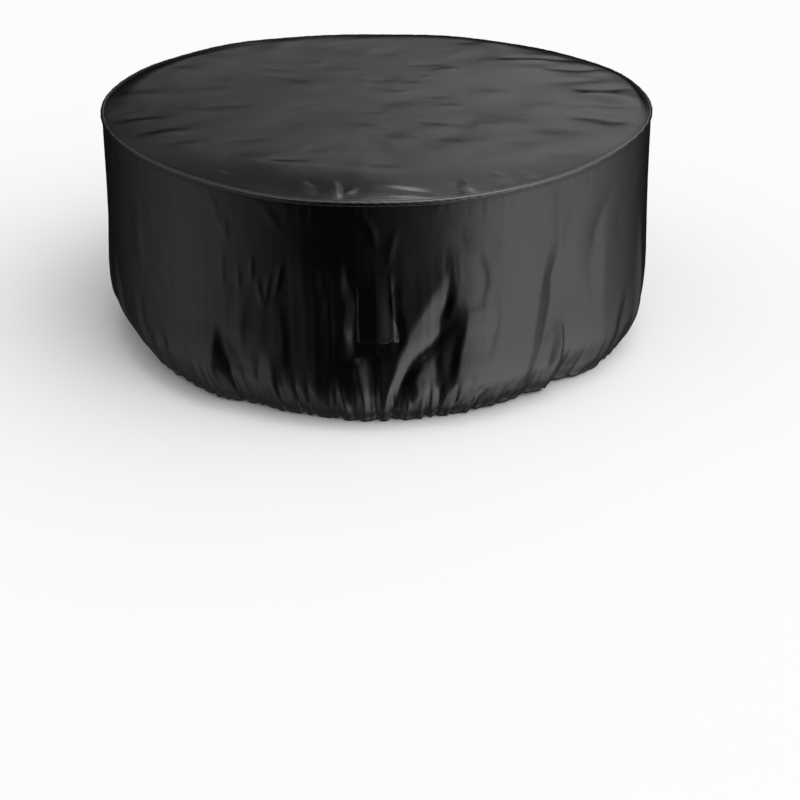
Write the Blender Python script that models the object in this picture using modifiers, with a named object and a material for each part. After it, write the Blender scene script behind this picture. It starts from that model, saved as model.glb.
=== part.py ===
"""Round fitted cover for a garden table and its chairs, as it hangs over them.

A flat top panel and a gathered skirt are joined by a corded rim seam, and a small vent flap is
sewn on the front. The furniture under the cover is left out. Metres, +Z up, front towards -Y.
The origin is at the middle of the top panel's underside, which rests on what the cover protects.
Azimuths are in degrees, 0 at the front and growing towards +X.
"""

from collections import namedtuple

import bpy
import numpy as np

RIM_RADIUS = 0.950
COVER_DROP = 0.791
CLOTH_THICKNESS = 0.002
SEAM_GAP = 0.0003

# A slow wave round the cover: how many times it goes round, its phase and its size.
Wave = namedtuple("Wave", "times phase size")

# Rim seam: a piped cord that rides lower at the front than at the back.
CORD_RADIUS = 0.0075
CORD_THINNING = 0.0004
CORD_WAVES = (Wave(11, 0.0, 0.3), Wave(23, 0.0, 0.2))
CORD_BEVEL_LEVEL = 2
RIM_DROP = 0.006
FRONT_DIP = 0.046
DIP_POWER = 2.5
BACK_RISE = 0.010
BACK_RISE_AZIMUTH = -128.0
BACK_RISE_SPREAD = 32.0
RIM_WAVES = (Wave(7, 0.8, 0.0015), Wave(13, 2.1, 0.0009))

# Mesh columns round the cover, closer together at the front, where the folds are finest: the
# sine that shifts them is in degrees. The rim seam and the top panel use every second column.
SKIRT_COLUMNS = 180
CROWDING = 14.3

# Skirt sections from the rim seam down: share of the drop, and radius outside the cloth there.
Section = namedtuple("Section", "drop radius")
SKIRT_SECTIONS = (
    Section(0.000, 0.9435),
    Section(0.030, 0.9460),
    Section(0.120, 0.9500),
    Section(0.277, 0.9560),
    Section(0.430, 0.9630),
    Section(0.577, 0.9700),
    Section(0.670, 0.9730),
    Section(0.750, 0.9730),
    Section(0.820, 0.9670),
    Section(0.880, 0.9500),
    Section(0.930, 0.9310),
    Section(0.970, 0.9110),
    Section(1.000, 0.8980),
)

# The hem's turned-under edge: how far in from the lowest line, and how far up.
Turn = namedtuple("Turn", "inward up")
HEM_TURNS = (
    Turn(0.013, 0.001),
    Turn(0.024, 0.008),
)

# How the elastic hem wanders: azimuth, shift outward and lift off the lowest line.
Hem = namedtuple("Hem", "azimuth outward lift")
HEM_SWAY = (
    Hem(-165, 0.004, 0.004),
    Hem(-135, -0.006, 0.010),
    Hem(-105, 0.006, 0.003),
    Hem(-80, 0.004, 0.006),
    Hem(-54, 0.004, 0.010),
    Hem(-40, 0.002, 0.008),
    Hem(-28, 0.010, 0.005),
    Hem(-14, 0.002, 0.003),
    Hem(0, 0.014, 0.000),
    Hem(18, 0.004, 0.001),
    Hem(38, 0.004, 0.010),
    Hem(58, 0.028, 0.000),
    Hem(80, 0.010, 0.003),
    Hem(115, -0.004, 0.011),
    Hem(150, 0.006, 0.002),
)
HEM_SWAY_POWER = 3

# Small gathers along the elastic: every second column stands out, more in some places than others.
GATHER_DEPTH = 0.007
GATHER_LIFT = 0.004
GATHER_START = 0.86
GATHER_LEAST = 0.2
GATHER_BUNCHES = 5

# Folds of the skirt, front first. Each runs from its top end to its low end: azimuths of both,
# sideways bend at its middle (degrees), depths below the rim plane, half-widths at both ends,
# and relief (out of the cover if positive). A fold that reaches the hem keeps its relief there.
Fold = namedtuple("Fold", "top_azimuth low_azimuth bend top_z low_z top_width low_width relief")
SKIRT_FOLDS = (
    Fold(14.5, 9.5, 0.0, -0.27, -0.80, 0.016, 0.062, -0.034),
    Fold(13.3, 3.0, -1.1, -0.26, -0.80, 0.022, 0.014, 0.014),
    Fold(11.0, 10.4, 0.0, -0.50, -0.80, 0.008, 0.015, 0.017),
    Fold(18.5, 17.5, 0.0, -0.22, -0.80, 0.022, 0.030, 0.009),
    Fold(1.0, 0.9, 0.0, -0.49, -0.80, 0.024, 0.020, -0.016),
    Fold(-2.2, -1.6, 0.0, -0.50, -0.80, 0.014, 0.014, 0.008),
    Fold(-5.6, -3.8, 0.8, -0.25, -0.54, 0.012, 0.014, 0.007),
    Fold(-9.0, -9.4, 0.0, -0.22, -0.80, 0.018, 0.022, 0.008),
    Fold(-13.0, -13.5, 0.0, -0.35, -0.80, 0.022, 0.030, -0.009),
    Fold(-17.0, -18.5, 0.0, -0.54, -0.80, 0.015, 0.028, -0.017),
    Fold(-20.6, -22.0, 0.0, -0.24, -0.80, 0.014, 0.022, 0.007),
    Fold(-29.6, -29.0, 0.0, -0.50, -0.80, 0.010, 0.050, -0.044),
    Fold(-25.5, -23.6, 0.0, -0.56, -0.80, 0.012, 0.020, 0.008),
    Fold(-44.2, -41.4, 0.0, -0.57, -0.80, 0.010, 0.030, -0.025),
    Fold(-57.6, -47.2, 0.6, -0.40, -0.80, 0.016, 0.022, 0.012),
    Fold(-52.5, -50.0, 0.0, -0.52, -0.80, 0.014, 0.022, -0.014),
    Fold(-66.0, -63.0, 0.0, -0.40, -0.80, 0.024, 0.034, -0.012),
    Fold(21.4, 22.0, 0.0, -0.67, -0.80, 0.010, 0.018, -0.016),
    Fold(27.5, 27.2, 0.0, -0.71, -0.80, 0.010, 0.016, -0.014),
    Fold(34.4, 31.2, 0.0, -0.20, -0.80, 0.034, 0.030, -0.009),
    Fold(38.8, 39.4, 0.0, -0.52, -0.80, 0.012, 0.052, -0.046),
    Fold(48.0, 44.5, 0.0, -0.10, -0.50, 0.034, 0.030, -0.008),
    Fold(58.6, 60.0, 0.0, -0.42, -0.80, 0.018, 0.034, -0.022),
    Fold(68.0, 65.5, 0.0, -0.30, -0.80, 0.030, 0.034, 0.010),
    Fold(84.0, 82.0, 0.0, -0.47, -0.80, 0.016, 0.044, -0.028),
    Fold(93.0, 95.0, -1.5, -0.24, -0.80, 0.034, 0.034, 0.012),
    Fold(104.0, 101.0, 0.0, -0.55, -0.80, 0.014, 0.044, -0.030),
    Fold(121.0, 117.0, 1.5, -0.30, -0.80, 0.024, 0.056, -0.040),
    Fold(131.0, 133.0, 0.0, -0.20, -0.80, 0.034, 0.034, 0.011),
    Fold(147.0, 144.0, 0.0, -0.50, -0.80, 0.014, 0.046, -0.036),
    Fold(163.0, 166.0, -1.0, -0.28, -0.80, 0.030, 0.050, -0.028),
    Fold(178.0, 176.0, 0.0, -0.22, -0.80, 0.040, 0.036, 0.012),
    Fold(-170.0, -168.0, 0.0, -0.53, -0.80, 0.014, 0.048, -0.040),
    Fold(-153.0, -156.0, 0.0, -0.34, -0.80, 0.024, 0.050, -0.030),
    Fold(-141.0, -139.0, 1.0, -0.22, -0.80, 0.034, 0.030, 0.012),
    Fold(-128.0, -131.0, 0.0, -0.48, -0.80, 0.016, 0.050, -0.038),
    Fold(-112.0, -109.0, -1.5, -0.28, -0.80, 0.026, 0.050, -0.032),
    Fold(-97.0, -95.0, 0.0, -0.45, -0.80, 0.020, 0.040, 0.010),
    Fold(-87.0, -90.0, 0.0, -0.50, -0.80, 0.014, 0.044, -0.034),
    Fold(-75.0, -76.5, 0.0, -0.36, -0.80, 0.030, 0.046, 0.008),
)
# A fold swells over this share of its length, and one that ends short of the hem fades over the
# second share. The elastic flattens all of them below HEM_PULL_Z, to HEM_PULL_SHARE at the hem.
FOLD_ONSET = 0.55
FOLD_TAIL = 0.25
HEM_PULL_Z = -0.69
HEM_PULL_SHARE = 0.25
HEM_PULL_POWER = 1.5

# Top panel: its mesh rings as shares of its radius, the rounded shoulder that drops to the seam,
# and faint waves that grow from the calm middle towards the rim.
PANEL_RING_SHARES = (0.18, 0.40, 0.60, 0.74, 0.84, 0.91, 0.96, 1.00)
SHOULDER_WIDTH = 0.17
SHOULDER_POWER = 2.2
PANEL_WAVES = (Wave(2, 0.7, 0.004), Wave(3, -1.1, 0.002))

# Puckers along the rim seam: azimuth, radius of the middle, half-width round the rim, half-length
# towards the middle of the cover, and height.
Pucker = namedtuple("Pucker", "azimuth radius across along height")
PANEL_PUCKERS = (
    Pucker(5.0, 0.885, 0.070, 0.032, 0.009),
    Pucker(-7.0, 0.900, 0.030, 0.030, 0.006),
    Pucker(-14.0, 0.890, 0.045, 0.035, -0.005),
    Pucker(-23.0, 0.880, 0.050, 0.040, 0.006),
    Pucker(-34.0, 0.895, 0.040, 0.040, -0.005),
    Pucker(15.0, 0.890, 0.035, 0.045, -0.006),
    Pucker(21.0, 0.880, 0.040, 0.045, 0.008),
    Pucker(30.0, 0.895, 0.040, 0.035, -0.005),
    Pucker(46.0, 0.860, 0.060, 0.060, 0.005),
    Pucker(70.0, 0.800, 0.045, 0.110, -0.005),
    Pucker(86.0, 0.800, 0.045, 0.110, 0.005),
    Pucker(104.0, 0.770, 0.050, 0.120, -0.005),
    Pucker(128.0, 0.800, 0.060, 0.100, 0.006),
    Pucker(155.0, 0.860, 0.050, 0.060, -0.004),
    Pucker(-152.0, 0.850, 0.060, 0.070, 0.004),
    Pucker(-118.0, 0.840, 0.060, 0.080, -0.006),
    Pucker(-88.0, 0.830, 0.045, 0.080, 0.005),
    Pucker(-72.0, 0.830, 0.040, 0.090, -0.005),
    Pucker(-56.0, 0.820, 0.045, 0.090, 0.005),
)

# Vent flap: skirt columns and sections that it spans, and how far its free lower edge stands off.
FLAP_FIRST_COLUMN = -2
FLAP_LAST_COLUMN = 3
FLAP_SECTIONS = (3, 4, 5)
FLAP_STEPS = 3
FLAP_SEAM_GAP = 0.0005
FLAP_STAND_OFF = 0.008
FLAP_FALL_POWER = 1.5
FLAP_CROWN_POWER = 0.6
FLAP_RIDGE = 0.006
FLAP_RIDGE_PLACE = 0.80
FLAP_RIDGE_WIDTH = 0.13

CLOTH_COLOUR = (0.031, 0.032, 0.034, 1.0)
CORD_COLOUR = (0.040, 0.041, 0.043, 1.0)
CLOTH_ROUGHNESS = 0.45
CORD_ROUGHNESS = 0.40


def clear_scene():
    for obj in list(bpy.data.objects):
        bpy.data.objects.remove(obj, do_unlink=True)


def make_collection(name):
    collection = bpy.data.collections.new(name)
    bpy.context.scene.collection.children.link(collection)
    return collection


def cloth_material(name, colour, roughness):
    material = bpy.data.materials.new(name)
    material.use_nodes = True
    shader = material.node_tree.nodes["Principled BSDF"]
    shader.inputs["Base Color"].default_value = colour
    shader.inputs["Roughness"].default_value = roughness
    shader.inputs["Metallic"].default_value = 0.0
    return material


def column_azimuths():
    """Azimuths of the skirt's columns: even turns, shifted towards the front by a sine."""
    turns = np.arange(SKIRT_COLUMNS) * 360.0 / SKIRT_COLUMNS
    return turns - CROWDING * np.sin(np.radians(turns))


def on_circle(azimuth, radius, z):
    """Points at these azimuths and radii, as an array with x, y and z last."""
    angle = np.radians(azimuth)
    parts = np.broadcast_arrays(radius * np.sin(angle), -radius * np.cos(angle), z)
    return np.stack(parts, axis=-1)


def turn_between(azimuth, other):
    """Signed difference of two azimuths, from -180 to 180 degrees."""
    return (azimuth - other + 180.0) % 360.0 - 180.0


def waves(azimuth, table):
    """Sum of sines round the cover."""
    angle = np.radians(azimuth)
    return sum(wave.size * np.sin(wave.times * angle + wave.phase) for wave in table)


def bell(distance, width):
    return np.exp(-((distance / width) ** 2))


def cord_radius(azimuth):
    """The piping thins a little between the places where the seam allowance bunches."""
    return CORD_RADIUS - CORD_THINNING * (0.5 + waves(azimuth, CORD_WAVES))


def rim_height(azimuth):
    """Height of the piping's centre: lowest at the front, highest at the back left, a bit wavy."""
    dip = FRONT_DIP * np.maximum(np.cos(np.radians(azimuth)), 0.0) ** DIP_POWER
    rise = BACK_RISE * bell(turn_between(azimuth, BACK_RISE_AZIMUTH), BACK_RISE_SPREAD)
    return -RIM_DROP - dip + rise + waves(azimuth, RIM_WAVES)


def fold_relief(azimuth, z):
    """Sum of the folds: each is a bell across its own line, swelling from its top end down."""
    relief = np.zeros(np.broadcast(azimuth, z).shape)
    pulled = np.clip((HEM_PULL_Z - z) / (HEM_PULL_Z + COVER_DROP), 0.0, 1.0) ** HEM_PULL_POWER
    for fold in SKIRT_FOLDS:
        along = (fold.top_z - z) / (fold.top_z - fold.low_z)
        inside = np.clip(along, 0.0, 1.0)
        bow = 4 * inside * (1 - inside)
        centre = fold.top_azimuth + (fold.low_azimuth - fold.top_azimuth) * inside + fold.bend * bow
        width = fold.top_width + (fold.low_width - fold.top_width) * inside
        across = np.radians(turn_between(azimuth, centre)) * RIM_RADIUS
        swell = np.sin(np.clip(along / FOLD_ONSET, 0.0, 1.0) * np.pi / 2)
        past_end = np.clip((along - 1.0) / FOLD_TAIL, 0.0, 1.0)
        relief += fold.relief * swell * (1 - past_end) * bell(across, width)
    return relief * (1 - (1 - HEM_PULL_SHARE) * pulled)


def hem_pleats(azimuth):
    """From -1 to 1: columns in and out by turns, with the pleats bunched in a few places."""
    bunched = (1 + GATHER_LEAST) / 2 + (1 - GATHER_LEAST) / 2 * np.sin(np.radians(azimuth) * GATHER_BUNCHES)
    return np.cos(np.pi * np.arange(len(azimuth))) * bunched


def skirt_rows():
    """The skirt's outside as rows of points, from the rim seam down and under the hem."""
    azimuth = column_azimuths()
    hem_azimuths = [hem.azimuth for hem in HEM_SWAY]
    outward = np.interp(azimuth, hem_azimuths, [hem.outward for hem in HEM_SWAY], period=360)
    lift = np.interp(azimuth, hem_azimuths, [hem.lift for hem in HEM_SWAY], period=360)
    pleat = hem_pleats(azimuth)
    top = rim_height(azimuth) - cord_radius(azimuth) - SEAM_GAP
    bottom = -COVER_DROP + lift + GATHER_LIFT * (1 + pleat) / 2
    rows = []
    for section in SKIRT_SECTIONS:
        z = top + (bottom - top) * section.drop
        gathered = np.clip((section.drop - GATHER_START) / (1 - GATHER_START), 0.0, 1.0)
        radius = section.radius + outward * section.drop**HEM_SWAY_POWER
        radius = radius + fold_relief(azimuth, z) + GATHER_DEPTH * gathered * pleat
        rows.append(on_circle(azimuth, radius, z))
    for turn in HEM_TURNS:
        rows.append(on_circle(azimuth, radius - turn.inward, z + turn.up))
    return np.array(rows)


def loft(name, rows, closed_round, middle=None):
    """Open surface of quads through rows of points. Rows closed round join their two ends, and
    a middle point closes the first row with a fan of triangles."""
    count, columns = rows.shape[:2]
    index = np.arange(count * columns).reshape(count, columns)
    if closed_round:
        index = np.hstack([index, index[:, :1]])
    corners = [index[1:, :-1], index[1:, 1:], index[:-1, 1:], index[:-1, :-1]]
    points = rows.reshape(-1, 3).tolist()
    faces = np.stack(corners, axis=-1).reshape(-1, 4).tolist()
    if middle is not None:
        fan = np.stack([index[0, :-1], index[0, 1:], np.full(columns, len(points))], axis=-1)
        faces += fan.tolist()
        points.append(middle)
    mesh = bpy.data.meshes.new(name)
    mesh.from_pydata(points, [], faces)
    mesh.shade_smooth()
    return mesh


def add_cloth(mesh, collection, offset):
    """A cloth object: the open surface given its thickness, inward for -1 or outward for 1."""
    mesh.materials.append(cloth_material("coated cloth " + mesh.name, CLOTH_COLOUR, CLOTH_ROUGHNESS))
    obj = bpy.data.objects.new(mesh.name, mesh)
    collection.objects.link(obj)
    solid = obj.modifiers.new("cloth thickness", "SOLIDIFY")
    solid.thickness = CLOTH_THICKNESS
    solid.offset = offset


def make_skirt(collection):
    add_cloth(loft("skirt", skirt_rows(), closed_round=True), collection, offset=-1)


def make_rim_welt(collection):
    """The piped seam: a closed cord through every second column of the skirt."""
    azimuth = column_azimuths()[::2]
    points = on_circle(azimuth, RIM_RADIUS - CORD_RADIUS, rim_height(azimuth))
    curve = bpy.data.curves.new("rim_welt", "CURVE")
    curve.dimensions = "3D"
    curve.bevel_depth = CORD_RADIUS
    curve.bevel_resolution = CORD_BEVEL_LEVEL
    spline = curve.splines.new("POLY")
    spline.points.add(len(points) - 1)
    spline.points.foreach_set("co", np.insert(points, 3, 1.0, axis=1).ravel())
    spline.points.foreach_set("radius", cord_radius(azimuth) / CORD_RADIUS)
    spline.use_cyclic_u = True
    curve.materials.append(cloth_material("coated cloth piping", CORD_COLOUR, CORD_ROUGHNESS))
    collection.objects.link(bpy.data.objects.new("rim_welt", curve))


def panel_relief(azimuth, radius):
    """Faint waves that grow towards the rim, and puckers as bells round it and along the radius."""
    relief = waves(azimuth, PANEL_WAVES) * (radius / RIM_RADIUS) ** 2
    for pucker in PANEL_PUCKERS:
        across = np.radians(turn_between(azimuth, pucker.azimuth)) * radius
        along = radius - pucker.radius
        relief = relief + pucker.height * bell(across, pucker.across) * bell(along, pucker.along)
    return relief


def panel_rows():
    """Rings of the top panel's upper face from the middle out: flat, puckered, then the shoulder."""
    azimuth = column_azimuths()[::2]
    seam = RIM_RADIUS - CORD_RADIUS - cord_radius(azimuth) - SEAM_GAP
    seam_height = rim_height(azimuth) + CLOTH_THICKNESS / 2
    rings = []
    for share in PANEL_RING_SHARES:
        radius = seam * share
        shoulder = np.clip(1 - (seam - radius) / SHOULDER_WIDTH, 0.0, 1.0) ** SHOULDER_POWER
        flat = CLOTH_THICKNESS + panel_relief(azimuth, radius)
        rings.append(on_circle(azimuth, radius, flat + (seam_height - flat) * shoulder))
    return np.array(rings)


def make_top_panel(collection):
    middle = (0.0, 0.0, CLOTH_THICKNESS)
    mesh = loft("top_panel", panel_rows(), closed_round=True, middle=middle)
    add_cloth(mesh, collection, offset=-1)


def between_rows(rows, down, sideways):
    """Points on the facets of rows of points: each pair of places counts rows down and columns
    across, and is mixed from the four corners round it."""
    row = np.minimum(down.astype(int), rows.shape[0] - 2)
    column = np.minimum(sideways.astype(int), rows.shape[1] - 2)
    v = (down - row)[:, None, None]
    u = (sideways - column)[None, :, None]
    upper = rows[row][:, column] * (1 - u) + rows[row][:, column + 1] * u
    lower = rows[row + 1][:, column] * (1 - u) + rows[row + 1][:, column + 1] * u
    return upper * (1 - v) + lower * v


def flap_rows():
    """The flap's back face: the skirt's own facets moved out by a seam's gap, with a crown that
    grows towards the free lower edge and a soft ridge down the right side."""
    columns = np.arange(FLAP_FIRST_COLUMN, FLAP_LAST_COLUMN + 1)
    facets = skirt_rows()[np.ix_(FLAP_SECTIONS, columns)]
    down = np.arange(FLAP_STEPS * (len(FLAP_SECTIONS) - 1) + 1) / FLAP_STEPS
    sideways = np.arange(FLAP_STEPS * (len(columns) - 1) + 1) / FLAP_STEPS
    surface = between_rows(facets, down, sideways)
    across = (sideways / sideways[-1])[None, :]
    fall = (down / down[-1])[:, None]
    sewn = np.sin(np.pi * across)
    crown = FLAP_STAND_OFF * fall**FLAP_FALL_POWER * sewn**FLAP_CROWN_POWER
    ridge = FLAP_RIDGE * np.sin(np.pi * fall) * sewn * bell(across - FLAP_RIDGE_PLACE, FLAP_RIDGE_WIDTH)
    outward = surface * (1, 1, 0)
    outward = outward / np.linalg.norm(outward, axis=-1, keepdims=True)
    return surface + outward * (FLAP_SEAM_GAP + crown + ridge)[..., None]


def make_front_flap(collection):
    add_cloth(loft("front_flap", flap_rows(), closed_round=False), collection, offset=1)


def main():
    clear_scene()
    collection = make_collection("round patio furniture cover")
    make_top_panel(collection)
    make_rim_welt(collection)
    make_skirt(collection)
    make_front_flap(collection)


main()
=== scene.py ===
"""Looks of a round fitted cover for garden furniture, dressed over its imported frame.

Thin coated cloth replaces each of the frame's solids: the top panel, the piped rim seam, the gathered
skirt and the vent flap on its front. Metres, +Z up, front towards -Y. The origin is under the middle
of the top panel. Azimuths are in degrees, 0 at the front and growing towards +X, and depths are
heights below the top, so they are negative.
"""

from collections import namedtuple

import bpy
import numpy as np
from bpy.props import FloatProperty, FloatVectorProperty, PointerProperty
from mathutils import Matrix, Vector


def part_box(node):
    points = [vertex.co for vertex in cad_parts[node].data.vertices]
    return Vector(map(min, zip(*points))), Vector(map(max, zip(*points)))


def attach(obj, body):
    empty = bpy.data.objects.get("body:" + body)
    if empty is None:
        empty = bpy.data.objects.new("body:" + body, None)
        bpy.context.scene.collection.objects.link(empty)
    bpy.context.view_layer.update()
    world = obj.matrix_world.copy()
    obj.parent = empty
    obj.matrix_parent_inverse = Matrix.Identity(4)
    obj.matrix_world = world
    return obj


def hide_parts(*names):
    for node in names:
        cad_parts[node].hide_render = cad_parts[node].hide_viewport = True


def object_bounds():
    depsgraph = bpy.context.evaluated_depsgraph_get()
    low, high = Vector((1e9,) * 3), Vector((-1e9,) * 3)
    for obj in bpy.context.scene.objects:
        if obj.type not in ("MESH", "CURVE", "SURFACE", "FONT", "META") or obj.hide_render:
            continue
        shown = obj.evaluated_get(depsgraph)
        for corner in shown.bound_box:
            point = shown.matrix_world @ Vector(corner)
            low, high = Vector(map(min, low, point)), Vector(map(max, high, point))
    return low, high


bl_info = {
    "name": "Round patio furniture cover",
    "version": (1, 0, 0),
    "blender": (4, 5, 0),
    "location": "3D View > Sidebar > Cover",
    "description": "Cloth, seams, finishes and studio of a round fitted furniture cover",
    "category": "Object",
}

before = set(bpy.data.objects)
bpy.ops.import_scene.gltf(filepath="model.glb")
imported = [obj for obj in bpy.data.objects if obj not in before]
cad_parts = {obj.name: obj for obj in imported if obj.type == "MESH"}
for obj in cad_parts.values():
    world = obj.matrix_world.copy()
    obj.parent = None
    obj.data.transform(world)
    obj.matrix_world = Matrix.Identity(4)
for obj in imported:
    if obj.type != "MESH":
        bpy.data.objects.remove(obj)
CAD_BOX = [list(corner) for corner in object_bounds()]

# The rim seam's outer radius, how far the hem's lowest line is below the top, and the gap from the
# piping to the cloth on both sides of it.
RIM_RADIUS = round(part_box("rim_welt")[1].x, 3)
COVER_DROP = 0.791
SEAM_GAP = 0.0003

# A slow wave round the cover: how many times it goes round, its phase and its size.
Wave = namedtuple("Wave", "times phase size")

# Rim seam: the piping, its thinner places, its dip at the front and its rise at the back left.
CORD_RADIUS = 0.0075
CORD_THINNING = 0.0004
CORD_WAVES = (Wave(11, 0.0, 0.3), Wave(23, 0.0, 0.2))
RIM_DROP = 0.006
FRONT_DIP = 0.046
DIP_POWER = 2.5
BACK_RISE = 0.010
BACK_RISE_AZIMUTH = -128.0
BACK_RISE_SPREAD = 32.0
RIM_WAVES = (Wave(7, 0.8, 0.0015), Wave(13, 2.1, 0.0009))

# Skirt sections from the rim seam down: share of the drop, and radius outside the cloth there.
Section = namedtuple("Section", "drop radius")
SKIRT_SECTIONS = (
    Section(0.000, 0.9435),
    Section(0.030, 0.9460),
    Section(0.120, 0.9500),
    Section(0.277, 0.9560),
    Section(0.430, 0.9630),
    Section(0.577, 0.9700),
    Section(0.670, 0.9730),
    Section(0.750, 0.9730),
    Section(0.820, 0.9670),
    Section(0.880, 0.9500),
    Section(0.930, 0.9310),
    Section(0.970, 0.9110),
    Section(1.000, 0.8980),
)

# How the elastic hem wanders: azimuth, shift outward and lift off the lowest line.
Hem = namedtuple("Hem", "azimuth outward lift")
HEM_SWAY = (
    Hem(-165, 0.004, 0.004),
    Hem(-135, -0.006, 0.010),
    Hem(-105, 0.006, 0.003),
    Hem(-80, 0.004, 0.006),
    Hem(-54, 0.004, 0.010),
    Hem(-40, 0.002, 0.008),
    Hem(-28, 0.010, 0.005),
    Hem(-14, 0.002, 0.003),
    Hem(0, 0.014, 0.000),
    Hem(18, 0.004, 0.001),
    Hem(38, 0.004, 0.010),
    Hem(58, 0.028, 0.000),
    Hem(80, 0.010, 0.003),
    Hem(115, -0.004, 0.011),
    Hem(150, 0.006, 0.002),
)
HEM_SWAY_POWER = 3

# Gathers along the elastic: columns of the frame's skirt, in and out by turns. The columns are closer
# together at the front by a sine in degrees, which a table of turns undoes. The gathers start at a
# share of the drop, and go round in bunches, with a least share of their size between two bunches.
FRAME_COLUMNS = 180
FRAME_CROWDING = 14.3
FRAME_TURNS = 721
GATHER_DEPTH = 0.005
GATHER_LIFT = 0.004
GATHER_START = 0.86
GATHER_LEAST = 0.2
GATHER_BUNCHES = 5

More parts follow.
